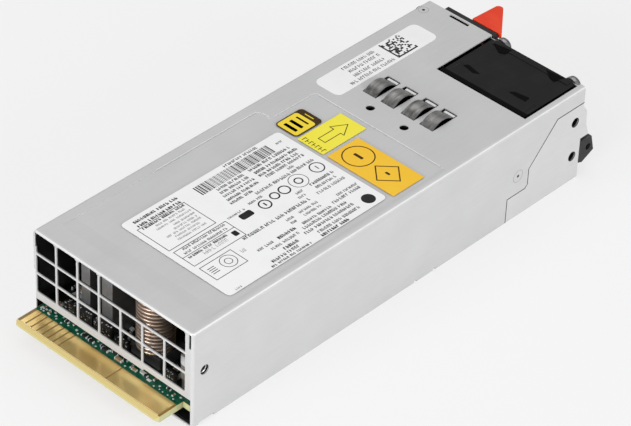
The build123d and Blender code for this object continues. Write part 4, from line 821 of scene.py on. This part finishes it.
boardParts = {
    # level of the board's face, and how long the bright end of a chip is
    "top": 7.9, "end": 0.25,
    # the strip in front of the grille: x, y, across, along, height, kind
    "strip": [
        (-33.6, 0.4, 0.7, 1.3, 0.1, 0), (-32.7, 0.9, 0.6, 0.9, 0.4, 2),
        (-31.7, 0.7, 0.9, 0.6, 0.1, 0), (-30.6, 1.2, 0.7, 0.7, 0.1, 0),
        (-29.8, 0.2, 0.6, 0.9, 0.4, 2), (-28.4, 1.6, 0.9, 0.6, 0.1, 0),
        (-27.0, 0.6, 0.7, 0.7, 0.1, 0), (-24.8, 2.0, 0.6, 0.6, 0.1, 0),
        (-22.2, 1.0, 1.2, 0.9, 0.6, 1), (-19.6, 2.0, 0.6, 0.9, 0.4, 2),
        (-17.2, 0.6, 0.8, 0.8, 0.1, 0), (-14.0, 1.7, 0.6, 1.2, 0.5, 2),
        (-11.4, 0.7, 1.2, 0.8, 0.5, 1), (-8.2, 1.8, 0.6, 0.6, 0.1, 0),
        (-5.2, 0.9, 1.2, 0.9, 0.6, 1), (-1.8, 1.9, 0.6, 1.1, 0.5, 2), (1.6, 0.8, 0.7, 0.7, 0.1, 0),
        (4.8, 1.8, 1.3, 0.8, 0.6, 1), (8.4, 0.9, 0.6, 0.9, 0.4, 2), (11.8, 2.0, 0.8, 0.8, 0.1, 0),
        (14.9, 0.9, 1.2, 0.9, 0.6, 1), (18.2, 1.9, 0.6, 1.0, 0.5, 2),
        (21.4, 0.8, 0.7, 0.7, 0.1, 0), (24.6, 1.8, 1.3, 0.8, 0.6, 1),
        (27.6, 0.9, 0.6, 0.9, 0.4, 2), (30.0, 1.7, 0.8, 0.6, 0.1, 0),
        (-13.0, 0.2, 2.0, 1.0, 0.7, 1), (-9.6, 0.0, 1.8, 0.9, 0.7, 1),
        (-3.4, 0.3, 2.4, 1.2, 0.8, 1), (0.2, 1.8, 2.2, 1.1, 0.8, 1), (3.2, 0.1, 2.6, 1.2, 0.9, 2),
        (10.2, 0.4, 1.6, 1.0, 0.5, 2), (13.2, 1.4, 2.2, 1.2, 0.3, 0),
        (17.0, 0.3, 1.6, 0.9, 0.2, 0), (-33.0, -0.6, 0.5, 0.5, 0.1, 0),
        (-31.9, -0.5, 0.6, 0.5, 0.1, 0), (-29.2, -0.4, 0.5, 0.5, 0.1, 0),
        (-26.0, -0.3, 0.5, 0.5, 0.1, 0), (-23.4, -0.6, 0.6, 0.5, 0.1, 0),
        (-20.8, 0.2, 0.5, 0.6, 0.1, 0), (-15.6, -0.4, 0.6, 0.5, 0.1, 0),
        (-7.0, -0.5, 0.5, 0.5, 0.1, 0), (6.6, -0.4, 0.6, 0.5, 0.1, 0),
        (20.0, -0.5, 0.5, 0.5, 0.1, 0), (22.4, -0.3, 0.4, 0.4, 0.1, 0),
        (24.0, -0.5, 0.4, 0.4, 0.1, 0), (26.2, -0.4, 0.4, 0.4, 0.1, 0),
        (28.8, -0.5, 0.5, 0.5, 0.1, 0),
    ],
    # behind the grille, between the larger parts: low and high corner, and how many
    "fields": [((-34.0, 5.0), (-21.0, 20.0), 34), ((-15.6, 6.0), (-11.2, 20.0), 12),
               ((-5.2, 5.0), (1.8, 24.0), 26), ((18.4, 5.0), (25.0, 24.0), 22)],
}


def addChip(mesh, x, y, across, along, height, kind):
    # kind 0 is a bare solder pad, 1 a black chip and 2 a tan one, both with bright ends
    wide, deep = (x - across / 2, x + across / 2), (y - along / 2, y + along / 2)
    level, end = (boardParts["top"], boardParts["top"] + height), boardParts["end"]
    addSlab(mesh, wide, deep, level, kind)
    if kind and across > along:
        addSlab(mesh, (wide[0] - end, wide[0]), deep, level)
        addSlab(mesh, (wide[1], wide[1] + end), deep, level)
    elif kind:
        addSlab(mesh, wide, (deep[0] - end, deep[0]), level)
        addSlab(mesh, wide, (deep[1], deep[1] + end), level)


def makeBoardParts():
    mesh = bmesh.new()
    for part in boardParts["strip"]:
        addChip(mesh, *part)
    rng = random.Random(3)
    for low, high, count in boardParts["fields"]:
        for _ in range(count):
            x, y = rng.uniform(low[0], high[0]), rng.uniform(low[1], high[1])
            addChip(mesh, x, y, rng.choice((0.6, 0.9, 1.5)), rng.choice((0.6, 0.8, 1.2)),
                    rng.choice((0.3, 0.6, 1.1)), rng.choice((0, 0, 1, 2)))
    finishPiece("board_parts", mesh, [solderBright, chipBlack, chipTan])


frontRow = {
    # dark strips of stacked chips that hide the feet of the heat sinks: across, depth, height
    "strips": [((-27.0, -21.6), (4.2, 5.4), 12.6), ((-20.6, -13.2), (3.6, 5.2), 14.2),
               ((-12.4, -4.6), (3.6, 5.2), 14.0), ((-3.6, 2.2), (4.6, 5.8), 11.6),
               ((19.0, 24.6), (4.2, 5.6), 12.0)],
    # bright specks on them: pitch, size, and how often one is drawn in front and on top
    "pitch": 0.95, "speck": 0.5, "frontShare": 0.55, "topShare": 0.7,
}


def makeFrontRow():
    mesh = bmesh.new()
    rng = random.Random(17)
    low, pitch, speck = boardParts["top"], frontRow["pitch"], frontRow["speck"]
    for across, depth, height in frontRow["strips"]:
        addSlab(mesh, across, depth, (low, height), 1)
        x = across[0] + 0.3
        while x < across[1] - 0.6:
            z = low + 1.2
            while z < height - 0.5:
                if rng.random() < frontRow["frontShare"]:
                    addSlab(mesh, (x, x + rng.choice((0.3, speck, 0.8))),
                            (depth[0] - 0.06, depth[0] + 0.02), (z, z + rng.choice((0.25, speck))),
                            rng.choice((0, 0, 2)))
                z += pitch
            if rng.random() < frontRow["topShare"]:
                y = rng.uniform(depth[0], depth[1] - 0.6)
                addSlab(mesh, (x, x + speck), (y, y + speck), (height, height + 0.06))
            x += pitch
    finishPiece("front_chip_row", mesh, [solderBright, chipBlack, chipTan])


edgePads = {
    "front": -9.35, "rear": -1.6, "thickness": 0.12, "corner": 0.25, "boardFoot": 5.5,
    "fingerStart": -32.5, "fingerPitch": 2.6, "fingerWidth": 2.0, "fingers": 7,
    "plates": [(-15.3, 6.55), (7.05, 30.8)], "line": (-33.4, 30.8), "lineY": (-9.33, -9.19),
}


def makeEdgePads():
    # gold faces above and below the board's tip
    mesh = bmesh.new()
    foot, thick, top = edgePads["boardFoot"], edgePads["thickness"], boardParts["top"]
    spans, half = list(edgePads["plates"]), edgePads["fingerWidth"] / 2
    for place in range(edgePads["fingers"]):
        middle = edgePads["fingerStart"] + place * edgePads["fingerPitch"]
        spans.append((middle - half, middle + half))
    for span in spans:
        for level in ((top, top + thick), (foot - thick, foot)):
            addSlab(mesh, span, (edgePads["front"], edgePads["rear"]), level, 0,
                    edgePads["corner"], 2)
    # painted highlight: a thin bright line where the bevelled tip begins, standing in for the
    # light on that edge
    addSlab(mesh, edgePads["line"], edgePads["lineY"], (top, top + thick + 0.01), 1)
    pads = finishPiece("edge_pads", mesh, [finishes["gold"], goldEdgeHighlight])
    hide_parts("power_pads", "signal_pads")


liners = {
    # black insulating sheets inside the side walls
    "sheets": [(-35.9, -35.75), (35.0, 35.15)], "y": (1.6, 60.0), "z": (9.0, 37.6),
    # bright insert behind the side hole: centre, depth, outer and inner radius
    "insert": ((35.5, 5.5, 21.7), 0.5, 2.5, 1.35),
    # pale rounded block that shows behind the last column of windows
    "block": ((29.4, 34.9), (1.3, 5.6), (17.0, 25.8)),
}


def makeLiners():
    sheets, insert, block = bmesh.new(), bmesh.new(), bmesh.new()
    for x in liners["sheets"]:
        addSlab(sheets, x, liners["y"], liners["z"])
    finishPiece("side_liners", sheets, [finishes["black_film"]])
    addRound(insert, *liners["insert"], axis="X")
    finishPiece("side_insert", insert, [finishes["shaft_steel"]], True)
    addSlab(block, *liners["block"], 0, 1.4, 6)
    finishPiece("side_block", block, [finishes["can_aluminium"]], True)


caseScrews = {
    # centre of the head's face, axis, which way is outwards, radius
    "heads": [((-33.7, 185.0, 39.0), "Z", 1, 2.5), ((36.75, 157.3, 17.9), "X", 1, 3.2),
              ((-36.75, 157.3, 17.9), "X", -1, 3.2)],
    "thickness": 0.5, "groove": 0.22, "recess": 0.6,
}


def makeCaseScrews():
    mesh = bmesh.new()
    thick, groove, recess = (caseScrews[key] for key in ("thickness", "groove", "recess"))
    # painted shade: a dark ring in the groove round each head and a dark hexagon for its recess; a
    # thin pale ring lies on the face
    for centre, axis, outwards, radius in caseScrews["heads"]:
        out = Vector([outwards if axis == letter else 0 for letter in "XYZ"])
        # how deep the middle lies, thickness, outer and inner radius, material, sides
        for sunk, depth, outer, inner, index, sides in (
                (0.02 + thick / 2, thick, radius, 0, 0, 36),
                (0.14, 0.2, radius + groove, radius, 1, 36),
                (0.015, 0.03, radius * 0.78, radius * 0.73, 2, 36),
                (0.015, 0.03, recess, 0, 1, 6)):
            addRound(mesh, Vector(centre) - out * sunk, depth, outer, inner, index, sides,
                     axis=axis)
    screws = finishPiece("screw_heads", mesh, [finishes["cover_metal"], inkAndShadeDark, inkPale])
    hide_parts("case_screws")


fanScrews = {"radius": 2.9, "reach": 1.5, "half": 0.28, "sunk": 0.1, "proud": 0.01}


def makeScrewCrosses():
    # cross recesses in the heads of the fan screws, drawn as flat black crosses in painted shade
    mesh = bmesh.new()
    low, high = (Vector(corner) * 1000 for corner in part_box("fan_screws"))
    radius, reach, half = fanScrews["radius"], fanScrews["reach"], fanScrews["half"]
    face = high.y - caseFrontY
    depth = (face - fanScrews["sunk"], face + fanScrews["proud"])
    for x in (low.x + radius - caseMidX, high.x - radius - caseMidX):
        for z in (low.z + radius, high.z - radius):
            addSlab(mesh, (x - reach, x + reach), depth, (z - half, z + half))
            addSlab(mesh, (x - half, x + half), depth, (z - reach, z + reach))
    finishPiece("screw_recesses", mesh, [shadeBlack])


fanTop = {
    "x": (-5.05, 32.95), "y": (163.2, 190.15), "z": (37.85, 38.55), "corner": 2.0, "flange": 38.8,
    "gapX": (-5.4, 33.3), "gapY": (162.1, 164.1),
    "pockets": [[(-3.1, 188.0), (4.7, 189.2), (3.9, 185.8), (1.9, 185.0)],
                [(-1.6, 169.9), (-0.5, 171.6), (6.4, 170.2), (4.0, 168.8)],
                [(20.1, 189.0), (28.2, 189.9), (26.5, 185.7), (24.2, 186.4)],
                [(19.8, 169.4), (21.3, 171.0), (27.0, 172.0), (27.8, 169.2), (24.2, 169.1)]],
}


def makeFanTop():
    # flat web between the fan's flanges, with four pockets drawn as flat black shapes in painted
    # shade
    mesh = bmesh.new()
    addSlab(mesh, fanTop["x"], fanTop["y"], fanTop["z"], 0, fanTop["corner"], 5)
    high = fanTop["flange"] + 0.01
    for points in fanTop["pockets"]:
        addPolygon(mesh, points, (fanTop["z"][1], high), 1)
    # painted shade: a broad black slab stands for the shaded gap at the front of the cut-out
    addSlab(mesh, fanTop["gapX"], fanTop["gapY"], (fanTop["z"][0], high), 1)
    finishPiece("fan_top_web", mesh, [finishes["fan_plastic"], shadeBlack])


fingerTails = {"x": (-12.15, -3.78, 5.56, 14.1), "across": (-1.9, 2.6), "y": (144.35, 145.45),
               "z": (38.3, 38.85)}


def makeFingerTails():
    # painted highlight: bright bars stand for the light on the tails of the spring fingers, seen
    # in the slots behind the arches
    mesh = bmesh.new()
    for x in fingerTails["x"]:
        addSlab(mesh, (x + fingerTails["across"][0], x + fingerTails["across"][1]),
                fingerTails["y"], fingerTails["z"])
    finishPiece("finger_tails", mesh, [highlightMetal])


fieldRim = {
    # painted highlight lines along the pressed step: across and along the case
    "lines": [((-24.4, 31.6), (120.35, 120.62)), ((-32.0, -31.75), (50.4, 97.7)),
              ((-30.0, -26.8), (98.9, 99.15)), ((-25.85, -25.68), (100.3, 119.2))],
    # slope at the field's front end, and how far its two ends lie below the cover's top
    "slope": ((-31.85, 34.35), (8.0, 14.0)), "foot": 0.299, "rear": 0.295,
}


def makeFieldRim():
    # painted highlight: bright strips stand for the light that the pressed step round the label
    # field catches
    mesh, slope = bmesh.new(), bmesh.new()
    for x, y in fieldRim["lines"]:
        addSlab(mesh, x, y, (top, top + 0.01))
    finishPiece("field_rim", mesh, [highlightMetal])
    # the field's front end rises in a slope too slight to show
    addSlab(slope, *fieldRim["slope"], (top - fieldRim["foot"], top))
    middle = casePoint(0, sum(fieldRim["slope"][1]) / 2, top - fieldRim["foot"] / 2)
    for vert in slope.verts:
        if vert.co.y > middle.y and vert.co.z > middle.z:
            vert.co.z = casePoint(0, 0, top - fieldRim["rear"]).z
    finishPiece("field_front_slope", slope, [finishes["cover_metal"]])


makeCoil()
makeBoardParts()
makeFrontRow()
makeEdgePads()
makeLiners()
makeCaseScrews()
makeScrewCrosses()
makeFanTop()
makeFingerTails()
makeFieldRim()
print("coil, board, pads, screws, fan top and rims")


# sharp edges of the plain solids are eased on copies, and on sheet parts the eased faces get a
# painted highlight
easedNodes = {
    "top_cover": (0.16, True), "base_pan": (0.12, False), "rear_panel": (0.14, True),
    "fan_frame": (0.3, False), "latch_housing": (0.3, False), "release_latch": (0.35, False),
    "handle_bail": (0.4, False), "handle_feet": (0.3, False), "inlet_body": (0.4, False),
    "main_board": (0.12, False),
}


grilleLook = {
    # middle lines of the bars as the solid has them, and how slim they are drawn
    "bars": (-26.0, -16.0, -6.0, 4.0, 14.0, 24.0), "rails": (21.51, 29.709),
    "half": 0.55, "slimHalf": 0.4, "corner": 0.6, "slimCorner": 0.3,
    "sides": (-35.45, 33.45), "sill": 13.8, "roof": 38.2, "sheet": 0.8,
}


def slimGrille(mesh):
    # the windows grow a little: their edges and cut corners slide towards the bars
    look = grilleLook
    moves = []
    for axis, lines in ((0, look["bars"]), (2, look["rails"])):
        for line in lines:
            for sign in (-1, 1):
                moves.append((axis, line + sign * look["half"], line + sign * look["slimHalf"]))
                moves.append((axis, line + sign * (look["half"] + look["corner"]),
                              line + sign * (look["slimHalf"] + look["slimCorner"])))
    for axis, line, sign in ((0, look["sides"][0], 1), (0, look["sides"][1], -1),
                             (2, look["sill"], 1), (2, look["roof"], -1)):
        moves.append((axis, line + sign * look["corner"], line + sign * look["slimCorner"]))
    rear = casePoint(0, look["sheet"] + 0.05, 0).y
    foot, roof = (look["sill"] - 0.05) / 1000, (look["roof"] + 0.05) / 1000
    flange = [vert for vert in mesh.verts if vert.co.y < rear and foot < vert.co.z < roof]
    picked = []
    for axis, old, new in moves:
        start = casePoint(old, 0, old)[axis]
        shift = Vector((0, 0, 0))
        shift[axis] = (new - old) / 1000
        picked.append((shift, [vert for vert in flange if abs(vert.co[axis] - start) < 0.00003]))
    for shift, verts in picked:
        bmesh.ops.translate(mesh, vec=shift, verts=verts)


seamLook = {"width": 0.34, "depth": 0.05, "wall": 36.75, "rear": 189.6, "foot": 0.8}


def drawSeamShade(lines):
    # painted shade: dark strips over the gaps where the pan's wings lie in the cover's cut-outs
    mesh = bmesh.new()
    middle = casePoint(0, 0, 0).x
    rear = casePoint(0, seamLook["rear"], 0).y
    for start, end in lines:
        flat = all(abs(abs(point.x - middle) - seamLook["wall"] / 1000) < 0.00002
                   for point in (start, end))
        centre, run = (start + end) / 2, end - start
        if not flat or centre.y > rear or centre.z < seamLook["foot"] / 1000:
            continue
        part = bmesh.new()
        made = bmesh.ops.create_cube(part, size=1.0)["verts"]
        bmesh.ops.scale(part, vec=(run.length + 0.0002, seamLook["width"] / 1000,
                                   seamLook["depth"] / 1000), verts=made)
        # the strip's own height points out of the wall
        out = Vector((1 if centre.x > middle else -1, 0, 0))
        along = run.normalized()
        turned = Matrix((along, out.cross(along), out)).transposed().to_4x4()
        turned.translation = centre - out * (seamLook["depth"] / 2000 - 0.000002)
        bmesh.ops.transform(part, matrix=turned, verts=made)
        mergeInto(mesh, part)
    for vert in mesh.verts:
        vert.co.z = max(vert.co.z, 0)
    finishPiece("wing_seam_shade", mesh, [shadeBlack])


easeLook = {
    # least angle of an edge that is eased, and most between faces that are joined first
    "sharp": 40, "flat": 1, "segments": 2,
    # the pressed field's front end: where along the case, and above which height
    "fieldY": 8.0, "fieldZ": 38.5,
    # painted highlight on the folds at the top: from this height on, faces whose slope is between
    # the two get the bright metal
    "shineZ": 37.5, "shineSlope": (0.55, 0.86),
    # the grille's flange: how deep, and how squarely its faces look to the front
    "flangeY": 0.2, "flangeSlope": -0.9,
}


def easeNode(name, offset, edgeHighlight):
    mesh, look = bmesh.new(), easeLook
    mesh.from_mesh(nodes[name].data)
    bmesh.ops.remove_doubles(mesh, verts=mesh.verts[:], dist=0.000002)
    if name == "top_cover":
        slimGrille(mesh)
    bmesh.ops.dissolve_limit(mesh, angle_limit=math.radians(look["flat"]), verts=mesh.verts[:],
                             edges=mesh.edges[:])
    sharp = [edge for edge in mesh.edges if len(edge.link_faces) == 2
             and edge.calc_face_angle() > math.radians(look["sharp"])]
    if name == "top_cover":
        # the front end of the pressed field is so soft that it doesn't show
        step = casePoint(0, look["fieldY"], look["fieldZ"])
        sharp = [edge for edge in sharp if any(
            abs(vert.co.y - step.y) > 0.0003 or vert.co.z < step.z for vert in edge.verts)]
    sharpLines = [[vert.co.copy() for vert in edge.verts] for edge in sharp]
    made = bmesh.ops.bevel(mesh, geom=sharp, offset=offset / 1000, segments=look["segments"],
                           affect="EDGES", profile=0.5, material=-1, clamp_overlap=True)
    # painted highlight on the eased faces
    if edgeHighlight:
        for face in made["faces"]:
            face.material_index = 1
    if name == "top_cover":
        front, (low, high) = casePoint(0, look["flangeY"], 0).y, look["shineSlope"]
        for face in mesh.faces:
            middle, normal = face.calc_center_median(), face.normal
            # painted highlight on the folds
            if middle.z > look["shineZ"] / 1000 and low < normal.z < high:
                face.material_index = 1
            # painted shade: the flange's front faces get the darker copy of the sheet
            if middle.y < front and normal.y < look["flangeSlope"]:
                face.material_index = 2
    if name == "base_pan":
        drawSeamShade(sharpLines)
    slot = slotOf[name]
    metals = [finishes[slot], highlightMetal, flangeShadeMetal] if edgeHighlight else [finishes[slot]]
    piece = finishPiece("eased_" + name, mesh, metals, body=bodyOf[name])
    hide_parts(name)
    return piece


for name, (offset, edgeHighlight) in easedNodes.items():
    easeNode(name, offset, edgeHighlight)
print("eased edges on", len(easedNodes), "nodes")


# the latch spring's edges are eased on a copy, which then gets a mesh of its own
leafSpring = easeNode("latch_spring", 0.02, False)
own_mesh(leafSpring)
